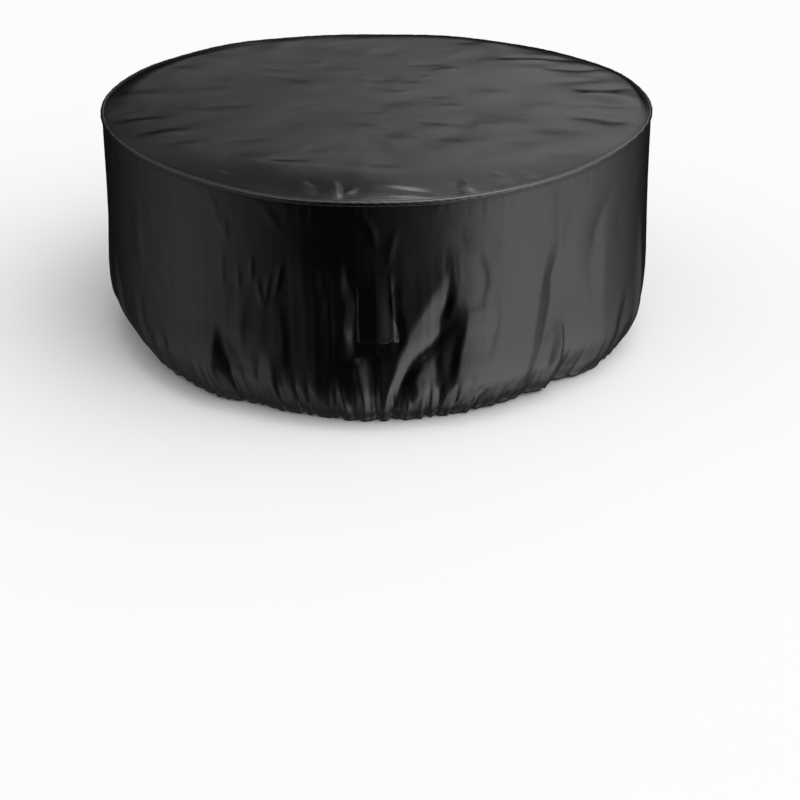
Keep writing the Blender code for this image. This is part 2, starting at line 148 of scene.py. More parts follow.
# Pleats of the skirt: flat facets between lines that run down it, listed from left to right. Each
# point of a line is an azimuth in degrees, then a depth and a relief in millimetres (out of the
# cover if positive).
PLEATS = (
    # S fold right of the flap.
    (
        ((3.7, -172, 0), (3.7, -307, 0), (3, -332, 0), (4.3, -485, 0), (2.5, -537, 0), (0.5, -738, 0)),
        ((5.3, -173, 0), (5.3, -283, 1), (5.1, -333, 5), (4.9, -358, 5), (5.6, -409, 8), (5.6, -460, 7),
         (5.2, -486, 4), (4.3, -511, 1), (3.2, -564, 0), (1.2, -739, 0)),
        ((12.8, -180, 0), (12.8, -254, 0), (12.3, -291, 3), (10.4, -338, 8), (8.6, -387, 9),
         (6.1, -461, 8), (5.8, -486, 5.5), (4.9, -512, 3), (4.3, -538, 2), (4.1, -564, 1), (3, -619, 1),
         (1.8, -739, 1)),
        ((13.7, -182, 0), (13.7, -256, 2), (13.7, -293, 2), (13.2, -342, 1), (13, -368, -3),
         (12.1, -417, -6), (12.1, -443, -9), (12.1, -469, -14), (9.7, -517, -19), (7.9, -541, -16),
         (5, -621, -11), (4, -692, -10), (3.7, -741, -9)),
        ((14.4, -183, 0), (14.5, -294, 5), (14.8, -320, 6), (14.7, -345, 9), (14.3, -370, 7),
         (14.1, -395, 7), (13.9, -420, 2), (13.5, -471, -5), (12.6, -496, -7), (11.5, -520, -11),
         (9.5, -543, -9), (8.8, -569, -5.5), (7.6, -624, -1), (8.2, -654, 0), (8.8, -752, 0)),
        ((14.8, -183, 0), (14.8, -295, 5), (15.2, -321, 6), (15, -346, 9), (14.7, -396, 8),
         (14.5, -421, 4), (14.3, -447, 2.5), (14.1, -472, -2.5), (13.4, -497, -3.5), (12.6, -522, -6),
         (11.3, -546, -10.5), (11.4, -574, -9.5), (11.4, -601, -10), (11.4, -631, -8), (11.7, -662, -8),
         (12.2, -762, -5)),
        ((15.2, -184, 0), (15.2, -296, 5), (15.6, -322, 6), (15.4, -347, 9), (15.4, -372, 8.5),
         (15.2, -397, 10), (15, -423, 6), (14.8, -448, 5.5), (14.7, -474, -1), (13.9, -498, -1.5),
         (13.2, -523, -3.5), (12.6, -549, -4), (12.7, -576, -3.5), (12.7, -604, -5), (13.4, -767, -1)),
        ((15.5, -185, 0), (15.6, -296, 5.5), (16, -322, 6), (16, -348, 9), (16, -373, 9), (16, -399, 12),
         (15.6, -450, 9.5), (15.4, -475, 3.5), (14.3, -526, -0.5), (13.8, -579, -0.5),
         (13.6, -606, -2.5), (13.7, -636, -1), (14.3, -770, -0.5)),
        ((16.3, -186, 0), (16.5, -324, 6), (16.7, -349, 9), (16.7, -375, 10), (16.9, -401, 14),
         (16.7, -426, 15), (16.5, -452, 14.5), (16.4, -477, 10), (16, -503, 10), (15.8, -529, 8.5),
         (15.5, -555, 9.5), (15.3, -582, 9), (15.2, -610, 6.5), (15.1, -672, 2), (15.1, -719, 0),
         (15.4, -774, 0)),
        ((29.5, -172, 0), (29.5, -740, 0)),
    ),
    # Below the flap.
    (
        ((-5.1, -529, 0), (-5.4, -607, 0), (-5.2, -745, 0)),
        ((-3.9, -528, 0), (-3.9, -544, 2), (-3, -741, 1)),
        ((-2.8, -527, 0), (-2.8, -543, 5), (-2.8, -570, 6), (-2.2, -641, 5), (-1.8, -740, 4.5)),
        ((-1.7, -527, 0), (-1.2, -543, -3), (-1, -570, -4), (-0.7, -739, -3.5)),
        ((-0.5, -526, 0), (-0.1, -543, -4), (0, -569, -5), (0.1, -738, -4)),
        ((0.9, -526, 0), (1.1, -543, -1), (1.1, -604, -1), (0.5, -738, -1)),
    ),
    # Soft ridge and wavy fold left of the flap.
    (
        ((-15.7, -228, 0), (-15, -575, 0), (-15.2, -665, 0), (-16.1, -745, 0)),
        ((-10.6, -220, 0), (-10.5, -273, 5), (-10.2, -370, 6), (-10.4, -566, 5.5), (-10.9, -727, 2)),
        ((-8.6, -218, 0), (-8.8, -271, -1), (-8.2, -336, -1), (-8, -647, -1), (-8.5, -720, 0)),
        ((-5.7, -216, 0), (-5.6, -299, 4), (-5.7, -333, 3.5), (-5, -364, 3.5), (-5.4, -428, 4.5),
         (-5.1, -466, 4), (-4.7, -505, 1.5), (-5, -558, 0), (-5.8, -644, 0.5), (-5.2, -714, 3)),
        ((-4.7, -215, 0), (-4.7, -267, -1), (-4.4, -298, -3), (-3.2, -332, -3.5), (-3, -363, -3),
         (-3.6, -465, -4), (-3.5, -504, -1), (-3.3, -557, 0), (-3.3, -641, 0), (-3.8, -712, -2)),
        ((-2.8, -214, 0), (-2.8, -297, 0), (-2.7, -332, -2), (-2.7, -427, -2), (-2.4, -504, 0),
         (-1.8, -640, 0), (-2, -709, 0)),
    ),
    # Tall wedge on the left.
    (
        ((-60, -488, 0), (-60, -740, 0)),
        ((-30.3, -488, 0), (-31, -552, 10), (-31.1, -581, 12), (-31.7, -642, 15), (-33.1, -720, 16)),
        ((-30.1, -487, 0), (-29.1, -544, -3), (-28.2, -596, -8), (-27.8, -653, -12), (-28, -689, -13)),
        ((-29.6, -485, 0), (-28.1, -513, -4), (-26.3, -561, -7), (-25.1, -612, -11), (-24, -670, -12)),
        ((-20.5, -455, 0), (-18.4, -649, 0)),
    ),
    # Low flank beside it.
    (
        ((-23.1, -542, 0), (-23.1, -631, 0), (-24.2, -747, 0)),
        ((-21.1, -536, 0), (-21.4, -578, -3), (-22.1, -627, -4), (-22.2, -737, -4)),
        ((-19.5, -532, 0), (-19.2, -572, 3), (-19.1, -677, 4), (-18.6, -722, 5)),
        ((-16.4, -524, 0), (-16.6, -669, 0), (-15.6, -712, 0)),
    ),
    # Left end.
    (
        ((-59.1, -500, 0), (-58.1, -585, 0), (-58.1, -623, 0), (-56.3, -649, 0), (-55.7, -678, 0)),
        ((-55.3, -476, 0), (-54.3, -524, 2), (-54.3, -560, 2.5), (-53.4, -629, 3), (-52.4, -653, 2.5)),
        ((-53.4, -465, 0), (-52.5, -513, -2), (-52, -582, -2.5), (-50.3, -639, -3)),
        ((-51.2, -453, 0), (-50.4, -500, 0), (-49.8, -568, 1.5), (-48.3, -595, 2.5), (-47.4, -619, 3.5)),
        ((-48.5, -438, 0), (-47.2, -517, 0), (-45.7, -580, -0.5), (-44.7, -603, -2.5)),
        ((-46.4, -426, 0), (-45.5, -507, 0), (-44, -570, 0.5), (-43, -593, 3.5)),
        ((-43.2, -409, 0), (-42.3, -490, 0), (-41.6, -521, 0), (-39.6, -574, 0)),
    ),
    # Wedge and long valley on the right.
    (
        ((32.8, -218, 0), (32.5, -281, 0), (29.6, -499, 0), (28.7, -629, 0)),
        ((34, -223, 0), (32.5, -333, 0), (29.8, -633, 0)),
        ((36.4, -232, -5), (36.3, -296, -14), (35.6, -345, -22), (35.7, -425, -26), (35.1, -489, -26),
         (34.2, -540, -22), (33.6, -565, -17), (31.8, -643, -9)),
        ((36.9, -234, -5), (36.4, -348, -21.5), (36.5, -428, -25), (36.4, -495, -23.5), (36.2, -549, -15),
         (35, -630, -7), (34.7, -659, -5)),
        ((37.4, -236, -5), (37.3, -300, -14), (37.1, -351, -20.5), (37.3, -431, -23), (37.6, -501, -19),
         (38.1, -559, -5), (37.8, -586, 1), (37.2, -641, 9), (37.1, -674, 11)),
        ((38, -238, -5), (37.9, -355, -19), (38.3, -436, -22), (38.8, -541, -16), (39.0, -564, -17),
         (39.6, -628, -22), (40.2, -665, -26), (41.6, -711, -28)),
        ((49.9, -292, 0), (49.4, -411, 0), (49.6, -495, 0), (50.5, -661, 0), (50.3, -693, 0),
         (49.6, -723, 0), (48.5, -752, 0)),
    ),
    # Right end.
    (
        ((52.4, -458, 0), (52.1, -492, 0), (50.3, -587, 0)),
        ((55.7, -478, 0), (56.2, -516, 1), (54.3, -577, 3), (54.1, -612, 4)),
        ((57.5, -489, 0), (58.5, -531, -2), (58.2, -565, -4), (56.7, -629, -7)),
        ((61.9, -517, 0), (62.2, -556, 0), (61.4, -625, 0), (59.7, -651, 0)),
    ),
)
# Share of a smooth step that rounds a pleat's corners, and a facet's least width in degrees.
PLEAT_SOFTNESS = 0.15
PLEAT_LEAST_WIDTH = 0.1

# Folds of the skirt. Each runs down along its path of azimuths and depths. It has a half-width to
# its left and to its right, each at its top and at its low end, a relief, and a power: 1.2 for a
# sharp crease to 2 for a soft fold. A fold whose path reaches the hem keeps its relief there, and
# the others fade at both ends.
Fold = namedtuple("Fold", "path left right relief power")
FRONT_FOLDS = (
    # Right of the S-shaped fold, and the hooks at the hem.
    Fold(((19.1, -0.214), (20.5, -0.306), (19.2, -0.390)), (0.030, 0.030), (0.008, 0.010), -0.0022, 1.5),
    Fold(((22.1, -0.336), (22.6, -0.441), (20.8, -0.578)), (0.030, 0.030), (0.010, 0.010), -0.0020, 1.5),
    Fold(((5.4, -0.655), (6.2, -0.700), (6.0, -0.80)), (0.008, 0.008), (0.010, 0.010), 0.005, 1.5),
    Fold(((17.0, -0.690), (15.6, -0.732), (14.4, -0.80)), (0.010, 0.014), (0.006, 0.008), 0.006, 1.5),
    Fold(((20.5, -0.680), (19.6, -0.725), (18.8, -0.80)), (0.008, 0.014), (0.006, 0.009), 0.011, 1.4),
    Fold(((21.5, -0.680), (21.4, -0.725), (21.5, -0.80)), (0.006, 0.010), (0.008, 0.014), -0.012, 1.5),
    Fold(((27.0, -0.715), (27.3, -0.80)), (0.006, 0.011), (0.006, 0.010), -0.010, 1.5),
    Fold(((41.4, -0.095), (38.9, -0.230), (38.4, -0.330)), (0.030, 0.020), (0.030, 0.020), -0.0030, 1.8),
    # Valley at the right.
    Fold(
        ((51.7, -0.123), (47.6, -0.221), (46.2, -0.391), (46.5, -0.478)),
        (0.040, 0.030),
        (0.030, 0.040),
        -0.0060,
        1.7,
    ),
    # Below the flap, and low on the left.
    Fold(((-6.2, -0.590), (-5.8, -0.680), (-4.4, -0.80)), (0.020, 0.020), (0.010, 0.010), 0.005, 1.5),
    Fold(((-17.0, -0.560), (-17.9, -0.80)), (0.016, 0.030), (0.012, 0.022), -0.003, 1.8),
    Fold(((-24.0, -0.360), (-25.0, -0.553)), (0.020, 0.020), (0.010, 0.010), 0.0020, 1.6),
    Fold(((-17.6, -0.363), (-16.5, -0.491), (-16.8, -0.631)), (0.024, 0.024), (0.012, 0.012), 0.0024, 1.6),
    Fold(((-22.1, -0.231), (-22.4, -0.322)), (0.010, 0.010), (0.005, 0.005), 0.0024, 1.5),
    Fold(((-25.1, -0.284), (-24.8, -0.348)), (0.010, 0.010), (0.004, 0.004), 0.0020, 1.5),
    Fold(((-28.4, -0.243), (-28.4, -0.346)), (0.012, 0.012), (0.005, 0.005), 0.0020, 1.5),
    Fold(((-21.4, -0.299), (-20.0, -0.398)), (0.010, 0.010), (0.005, 0.005), 0.0028, 1.5),
    Fold(((-18.6, -0.279), (-19.8, -0.385)), (0.010, 0.010), (0.005, 0.005), 0.0026, 1.5),
    Fold(((-16.3, -0.249), (-17.8, -0.348)), (0.010, 0.010), (0.006, 0.006), 0.0036, 1.5),
    Fold(((-27.6, -0.122), (-27.1, -0.197)), (0.010, 0.010), (0.005, 0.005), 0.0018, 1.5),
    Fold(((-52.4, -0.200), (-51.7, -0.335), (-51.0, -0.413)), (0.040, 0.040), (0.020, 0.020), 0.0030, 1.7),
    Fold(((-66.0, -0.40), (-63.0, -0.80)), (0.024, 0.034), (0.024, 0.034), -0.012, 2.0),
    Fold(((68.0, -0.30), (65.5, -0.80)), (0.030, 0.034), (0.030, 0.034), 0.010, 2.0),
    # Under the rim.
    Fold(((-31.4, -0.040), (-29.3, -0.119), (-27.3, -0.197)), (0.014, 0.016), (0.008, 0.008), 0.0018, 1.5),
    Fold(((-20.5, -0.060), (-18.3, -0.104), (-16.3, -0.146)), (0.012, 0.012), (0.007, 0.007), 0.0026, 1.5),
    Fold(((-1.8, -0.090), (-0.1, -0.128), (0.6, -0.174)), (0.012, 0.014), (0.008, 0.008), 0.0030, 1.5),
    Fold(((4.4, -0.125), (3.4, -0.183), (2.7, -0.235)), (0.014, 0.016), (0.008, 0.008), 0.0022, 1.5),
)

# Folds round the back of the skirt: azimuths and depths of both ends, sideways bend at the middle in
# degrees, half-widths at both ends, and relief.
BackFold = namedtuple("BackFold", "top_azimuth low_azimuth bend top_z low_z top_width low_width relief")
BACK_FOLDS = (
    BackFold(84.0, 82.0, 0.0, -0.47, -0.80, 0.016, 0.044, -0.028),
    BackFold(93.0, 95.0, -1.5, -0.24, -0.80, 0.034, 0.034, 0.012),
    BackFold(104.0, 101.0, 0.0, -0.55, -0.80, 0.014, 0.044, -0.030),
    BackFold(121.0, 117.0, 1.5, -0.30, -0.80, 0.024, 0.056, -0.040),
    BackFold(131.0, 133.0, 0.0, -0.20, -0.80, 0.034, 0.034, 0.011),
    BackFold(147.0, 144.0, 0.0, -0.50, -0.80, 0.014, 0.046, -0.036),
    BackFold(163.0, 166.0, -1.0, -0.28, -0.80, 0.030, 0.050, -0.028),
    BackFold(178.0, 176.0, 0.0, -0.22, -0.80, 0.040, 0.036, 0.012),
    BackFold(-170.0, -168.0, 0.0, -0.53, -0.80, 0.014, 0.048, -0.040),
    BackFold(-153.0, -156.0, 0.0, -0.34, -0.80, 0.024, 0.050, -0.030),
    BackFold(-141.0, -139.0, 1.0, -0.22, -0.80, 0.034, 0.030, 0.012),
    BackFold(-128.0, -131.0, 0.0, -0.48, -0.80, 0.016, 0.050, -0.038),
    BackFold(-112.0, -109.0, -1.5, -0.28, -0.80, 0.026, 0.050, -0.032),
    BackFold(-97.0, -95.0, 0.0, -0.45, -0.80, 0.020, 0.040, 0.010),
    BackFold(-87.0, -90.0, 0.0, -0.50, -0.80, 0.014, 0.044, -0.034),
    BackFold(-75.0, -76.5, 0.0, -0.36, -0.80, 0.030, 0.046, 0.008),
)
# How much wider one side of a fold at the back is.
BACK_LEAN = 0.45
# Share of its length over which a fold that reaches the hem grows, the power of the sine by which the
# others fade, and the usual power of a fold's or a crease's shape.
FOLD_ONSET = 0.55
FADE_POWER = 0.7
FOLD_POWER = 1.6
# Below this depth the elastic flattens the folds, by this share of them at the hem and by a power on
# the way there.
HEM_PULL_Z = -0.69
HEM_PULL = 0.55
HEM_PULL_POWER = 1.5
# Share of the drop over which all relief starts below the seam, and a depth past the hem.
SEAM_SHARE = 0.02
BELOW_HEM = -0.80

# Top panel: where it meets the piping, as shares of the cord's radius inward and up, the rounded
# shoulder that drops to the seam, waves that grow from the calm middle towards the rim, and puckers
# along the seam, each with its azimuth, radius, half-widths across and along the radius, and height.
PANEL_ON_CORD = (0.8, 0.6)
SHOULDER_WIDTH = 0.17
SHOULDER_POWER = 2.2
PANEL_WAVES = (Wave(2, 0.7, 0.004), Wave(3, -1.1, 0.002))
Pucker = namedtuple("Pucker", "azimuth radius across along height")
PANEL_PUCKERS = (
    Pucker(5.0, 0.900, 0.060, 0.016, 0.0014),
    Pucker(-7.0, 0.905, 0.022, 0.016, 0.0024),
    Pucker(-14.0, 0.895, 0.040, 0.020, -0.0026),
    Pucker(-23.0, 0.890, 0.040, 0.022, 0.0030),
    Pucker(-34.0, 0.900, 0.036, 0.024, -0.0030),
    Pucker(15.0, 0.895, 0.026, 0.020, -0.0030),
    Pucker(21.0, 0.890, 0.030, 0.022, 0.0036),
    Pucker(30.0, 0.900, 0.034, 0.020, -0.0028),
    Pucker(46.0, 0.880, 0.050, 0.034, 0.0030),
    Pucker(70.0, 0.800, 0.045, 0.110, -0.005),
    Pucker(86.0, 0.800, 0.045, 0.110, 0.005),
    Pucker(104.0, 0.770, 0.050, 0.120, -0.005),
    Pucker(128.0, 0.800, 0.060, 0.100, 0.006),
    Pucker(155.0, 0.860, 0.050, 0.060, -0.004),
    Pucker(-152.0, 0.850, 0.060, 0.070, 0.004),
    Pucker(-118.0, 0.840, 0.060, 0.080, -0.006),
    Pucker(-88.0, 0.830, 0.045, 0.080, 0.005),
    Pucker(-72.0, 0.830, 0.040, 0.090, -0.005),
    Pucker(-56.0, 0.820, 0.045, 0.090, 0.005),
)
# Where the panel stands higher behind and its edge falls to the seam: azimuth, spread in degrees, how
# far inside the seam the fall starts, over how much more the height dies out inward, and the height.
EdgeFall = namedtuple("EdgeFall", "azimuth spread outer inner height")
EDGE_FALLS = (
    EdgeFall(-112.0, 30.0, 0.075, 0.20, 0.018),
    EdgeFall(137.0, 38.0, 0.080, 0.30, 0.0105),
    EdgeFall(128.0, 34.0, 0.340, 0.60, 0.0120),
    EdgeFall(98.0, 20.0, 0.030, 0.10, 0.012),
    EdgeFall(180.0, 30.0, 0.030, 0.12, 0.002),
)
EDGE_FALL_POWER = 1.4
# Share of the radius inside which the falls fade out towards the middle of the panel.
EDGE_FALL_END = 0.6
# A crease of the panel: x and y of both ends, half-width and height.
Crease = namedtuple("Crease", "x0 y0 x1 y1 width height")
PANEL_CREASES = (
    # Broad swells at the right, and the fan on them.
    Crease(0.50, 0.02, 1.02, -0.01, 0.150, 0.0105),
    Crease(0.34, 0.31, 0.88, 0.28, 0.130, 0.0080),
    Crease(0.44, 0.48, 0.83, 0.47, 0.041, -0.0068),
    Crease(0.42, 0.43, 0.74, 0.42, 0.036, 0.0039),
    Crease(0.60, 0.30, 0.88, 0.33, 0.036, -0.0064),
    Crease(0.61, 0.18, 0.82, 0.20, 0.036, 0.0046),
    Crease(0.68, 0.04, 0.92, 0.05, 0.036, -0.0068),
    Crease(0.66, -0.04, 0.84, -0.03, 0.031, 0.0035),
    Crease(0.72, -0.11, 0.90, -0.15, 0.034, -0.0046),
    Crease(0.58, -0.25, 0.76, -0.14, 0.034, 0.0031),
    Crease(0.73, -0.34, 0.85, -0.27, 0.031, -0.0039),
    Crease(0.52, -0.65, 0.75, -0.63, 0.031, 0.0042),
    Crease(0.60, -0.69, 0.72, -0.68, 0.026, -0.0029),
    # Middle.
    Crease(0.10, 0.43, 0.26, 0.41, 0.030, -0.0021),
    Crease(0.16, 0.30, 0.32, 0.34, 0.028, 0.0019),
    Crease(0.00, 0.12, 0.14, 0.04, 0.030, -0.0021),
    Crease(0.04, 0.02, 0.18, 0.10, 0.023, 0.0014),
    Crease(0.16, -0.02, 0.27, 0.02, 0.028, -0.0017),
    Crease(0.18, -0.14, 0.31, -0.13, 0.028, 0.0017),
    Crease(0.12, -0.30, 0.27, -0.34, 0.030, -0.0019),
    Crease(-0.06, -0.18, 0.03, -0.20, 0.023, -0.0014),
    Crease(0.14, 0.22, 0.22, 0.26, 0.023, 0.0014),
    # Upper left.
    Crease(-0.45, 0.40, -0.31, 0.34, 0.032, -0.0021),
    Crease(-0.43, 0.31, -0.26, 0.20, 0.032, -0.0019),
    Crease(-0.30, 0.18, -0.20, 0.08, 0.028, 0.0016),
    Crease(-0.06, 0.24, 0.04, 0.18, 0.028, -0.0019),
    # Left.
    Crease(-0.90, -0.27, -0.79, -0.15, 0.030, -0.0032),
    Crease(-0.85, -0.34, -0.72, -0.27, 0.030, 0.0025),
    Crease(-0.78, -0.42, -0.66, -0.40, 0.023, -0.0016),
    Crease(-0.74, -0.50, -0.52, -0.49, 0.030, -0.0025),
    Crease(-0.64, -0.56, -0.54, -0.55, 0.023, 0.0016),
    Crease(-0.50, -0.52, -0.30, -0.47, 0.028, -0.0015),
    Crease(-0.70, 0.02, -0.50, 0.08, 0.041, 0.0021),
    Crease(-0.62, -0.14, -0.42, -0.10, 0.037, -0.0019),
    # Front left.
    Crease(-0.36, -0.74, -0.12, -0.745, 0.030, 0.0027),
    Crease(-0.34, -0.70, -0.20, -0.70, 0.023, -0.0016),
    Crease(-0.42, -0.80, -0.28, -0.84, 0.028, -0.0025),
    Crease(-0.36, -0.83, -0.24, -0.86, 0.023, 0.0021),
    Crease(-0.22, -0.58, -0.14, -0.61, 0.028, -0.0019),
)
# Creases along the front seam: the long lens, the notch and the curls. They fade out at the seam,
# over this distance.
SEAM_CREASE_FADE = 0.014
SEAM_CREASES = (
    Crease(-0.02, -0.865, 0.20, -0.885, 0.011, 0.0015),
    Crease(0.00, -0.888, 0.18, -0.905, 0.009, -0.0034),
    Crease(0.04, -0.915, 0.20, -0.915, 0.008, 0.0015),
    Crease(-0.115, -0.855, -0.095, -0.930, 0.009, 0.0048),
    Crease(-0.22, -0.850, -0.16, -0.900, 0.009, 0.0029),
    Crease(-0.20, -0.840, -0.15, -0.875, 0.008, -0.0024),
    Crease(-0.08, -0.905, -0.04, -0.895, 0.008, 0.0024),
    Crease(0.225, -0.850, 0.265, -0.905, 0.010, -0.0045),
    Crease(0.255, -0.835, 0.31, -0.890, 0.010, 0.0032),
    Crease(0.32, -0.820, 0.39, -0.850, 0.010, -0.0029),
    Crease(0.34, -0.795, 0.42, -0.820, 0.011, 0.0037),
    Crease(0.41, -0.780, 0.49, -0.775, 0.010, 0.0024),
    Crease(0.44, -0.800, 0.52, -0.780, 0.008, -0.0021),
    Crease(-0.52, -0.730, -0.42, -0.790, 0.010, 0.0019),
    Crease(-0.46, -0.745, -0.40, -0.790, 0.008, -0.0018),
)

# Small random folds and soft dents, the same each run. A pair is the least and the most of what is
# drawn, and a lean or a turn is the spread of a normal draw. A slope is a relief over its width.
SEED = 11
SKIRT_RIPPLES = 170
RIPPLE_FLAP_GAP = 1.0
RIPPLE_TOP = (0.08, 0.75)
RIPPLE_LENGTH = (0.06, 0.22)
RIPPLE_LOWEST = -0.775
RIPPLE_LEAN = 1.6
RIPPLE_WIDTH = (0.016, 0.045)
RIPPLE_SIDE = (0.5, 1.0)
RIPPLE_SLOPE = (0.02, 0.055)
RIPPLE_POWER = 1.7
SEAM_RIPPLES = 150
SEAM_RIPPLE_SHIFT = (-1.4, 1.4)
SEAM_RIPPLE_START = 0.03
SEAM_RIPPLE_LENGTH = (0.03, 0.11)
SEAM_RIPPLE_RELIEF = (0.0002, 0.0010)
SEAM_RIPPLE_WIDTH = (0.005, 0.011)
SEAM_RIPPLE_LEAN = 0.5
SEAM_RIPPLE_LEFT = (1.0, 0.7)
SEAM_RIPPLE_RIGHT = (0.8, 1.0)
PANEL_DENTS = 120
DENT_REACH = (0.0, 0.93)
DENT_TURN = 0.7
DENT_LENGTH = (0.10, 0.30)
DENT_WIDTH = (0.030, 0.090)
DENT_SLOPE = (0.012, 0.038)
# Gathers pinched at the hem, in uneven steps. Lengths and depths grow from the least by a spread
# and a power. Deep ones lean one way and shallow ones the other, in degrees a metre of depth.
Draw = namedtuple("Draw", "least spread power")
HEM_GATHERS = 132
HEM_GATHER_STEP = (0.5, 1.5)
HEM_GATHER_LENGTH = Draw(0.022, 0.060, 3)
HEM_GATHER_DEPTH = Draw(0.0012, 0.0065, 1.5)
HEM_GATHER_LEAN = 60
HEM_GATHER_UPRIGHT = 0.004
HEM_GATHER_LEFT = (0.004, 0.011)
HEM_GATHER_RIGHT = (0.004, 0.009)
HEM_GATHER_POWER = 1.4
# How far a gather lifts the hem's edge, by its depth, and over what half-width.
SCALLOP_LIFT = 1.7
SCALLOP_WIDTH = 0.008

# Vent flap: azimuths of its sewn sides, shares of the skirt's drop at its sewn top and free hem, its
# size, and how far it stands off the skirt at its seams and at its free hem.
FLAP_LEFT = -3.0
FLAP_RIGHT = 4.5
FLAP_TOP = 0.277
FLAP_HEM = 0.577
FLAP_SIZE = (0.124, 0.215)
FLAP_SEAM_GAP = 0.0007
FLAP_STAND_OFF = 0.006
FLAP_FALL_POWER = 1.5
FLAP_COLUMNS = 90
FLAP_ROWS = 110
# Ridges down the flap: place across it, half-width to the left and to the right, height, sideways
# drift down its length, and how much of it swells towards the free hem.
FlapRidge = namedtuple("FlapRidge", "place left right height drift swell")
FLAP_RIDGES = (
    FlapRidge(0.56, 0.46, 0.30, 0.0060, 0.00, 0.7),
    FlapRidge(0.86, 0.06, 0.05, 0.0040, 0.09, 0.3),
)
# A ridge's share of a half wave at the flap's top and down it, and its swell at the free hem.
RIDGE_START = 0.1
RIDGE_RUN = 0.8
RIDGE_SWELL = 1.6
# The flap's turned hem: share of its length, relief, how sharp its edge is, and its fall at the sides.
FLAP_HEM_BAND = 0.055
FLAP_HEM_RELIEF = 0.0011
FLAP_HEM_SHARPNESS = 160
FLAP_HEM_POWER = 0.3
# The hollow in the skirt that the flap leaves below its hem: its depth, its gap to the flap's right
# side in degrees, its step at the left in shares of its width, and the depths and sharpness of its
# low and high edges.
VENT_HOLLOW = 0.007
VENT_RIGHT_GAP = 0.6
VENT_STEP_START = -0.55
VENT_STEP = 0.60
VENT_LOW_Z = -0.548
VENT_LOW_SHARPNESS = 140
VENT_HIGH_Z = -0.44
VENT_HIGH_SHARPNESS = 120

# Fine meshes: columns are closer together at the front by a sine in degrees, the skirt's rows where
# the table gives many of them for a short stretch, and the panel's rings towards the seam by a power.
FINE_CROWDING = 24.0
SKIRT_COLUMNS = 700
SKIRT_ROWS = 66
RowKnot = namedtuple("RowKnot", "row drop")
SKIRT_ROW_KNOTS = (RowKnot(0.0, 0.0), RowKnot(0.06, 0.015), RowKnot(0.60, 0.72), RowKnot(1.0, 1.0))
# The hem's cloth turns under: shift inward and lift of each row past the hem's edge.
HEM_TURNS = ((0.0045, -0.0010), (0.013, 0.001), (0.024, 0.008))
PANEL_COLUMNS = 520
PANEL_RINGS = 90
RING_POWER = 1.5
PIPING_COLUMNS = 1200
PIPING_SIDES = 16
# Wrinkles of the piping's cloth: size, times round the cover, times round the cord, and phase.
Wrinkle = namedtuple("Wrinkle", "size times turns phase")
PIPING_WRINKLES = (Wrinkle(0.00022, 190, 2, 0.0), Wrinkle(0.00030, 71, -1, 1.0))

# Wear and painted sheen: the bulge of a row at which paler crests start and the span to full paleness,
# which on the crests stands partly for rubbing and partly for a painted highlight, the height of a crest of
# the panel with full paleness, the least wear of the skirt's hem and how many rows above its edge have it,
# the painted highlight on the flap's last rows, and the turn and power of the piping's upper outer side,
# which is painted paler as a highlight.
WEAR_AND_SHEEN_START = 8.0
WEAR_AND_SHEEN_SPAN = 50.0
PANEL_WEAR_AND_SHEEN_HEIGHT = 0.0005
HEM_WEAR = 0.6
HEM_WEAR_ROWS = 2
FLAP_HEM_SHEEN = 0.7
FLAP_SHEEN_ROWS = 2
PIPING_SHEEN_TURN = 0.9
PIPING_SHEEN_POWER = 4

# Stitches: length, width and height of one, how far its middle stands out by its height, the small
# steps along a surface that give its directions, and the pitch of a row.
STITCH_SIZE = (0.0036, 0.0010, 0.0007)
STITCH_OUT = 0.35
STITCH_STEPS = (0.02, 0.0004)
STITCH_PITCH = 0.0052
# Where the rows lie: drops down the skirt, and a share of the panel's radius.
HEM_STITCH_DROP = 0.966
RIM_STITCH_DROP = 0.009
PANEL_STITCH_SHARE = 0.9915
# Rows of the flap: two below its top and one above its turned hem, which stop short of its left and
# right sides, and one down each side, which stops short of the top and the hem.
FLAP_TOP_ROWS = (0.006, 0.013)
FLAP_HEM_ROW = 0.004
FLAP_ROW_GAPS = (0.25, 0.2)
FLAP_SIDE_ROW = 0.3
FLAP_SIDE_GAPS = (0.012, 0.01)

# Noises of the cloth and the thread: times a metre, detail and roughness.
Noise = namedtuple("Noise", "scale detail roughness")
PATCHES = Noise(3.1, 2.0, 0.5)
MOTTLE = Noise(19.0, 3.0, 0.6)
CRUMPLE = Noise(55.0, 3.0, 0.55)
GRAIN = Noise(260.0, 2.0, 0.6)
TWIST = Noise(900.0, 1.0, 0.5)
# Rubbed crests, painted paler also as a highlight: shares of the mottle and the grain, the values between
# which they show, how much of the paler rubbed and highlight colour they take, and how much rougher they
# are.
RUB_AND_SHEEN_MIX = (0.5, 0.5)
RUB_AND_SHEEN_EDGES = (0.36, 0.60)
RUB_AND_SHEEN_TONE = 0.6
RUBBED_ROUGHNESS = 0.08
# Paler patches of the cloth: shares of the patches and the mottle, the values between which they
# show, and how much paler they are.
PALE_MIX = (0.55, 0.45)
PALE_EDGES = (0.35, 0.65)
PALER = 1.8
# What the patches, the mottle and the grain add to the roughness, and a shift that keeps its mean.
ROUGHNESS_MIX = (0.05, 0.05, 0.04)
ROUGHNESS_SHIFT = -0.06
# Heights of the crumples, the mottle, the grain and the weave.
CRUMPLE_HEIGHT = 0.00014
MOTTLE_HEIGHT = 0.0006
GRAIN_HEIGHT = 0.00002
WEAVE_HEIGHT = 0.00001
# The piping's shine, and how far towards the front its clear coat starts and is full.
PIPING_SPECULAR = 0.08
PIPING_COAT = (-0.3, 0.5)
# Thread: how dark its twist gets, its least roughness and what the twist adds, and its shine.
THREAD_SHADE = 0.5
THREAD_ROUGHNESS = (0.45, 0.2)
THREAD_SPECULAR = 0.03

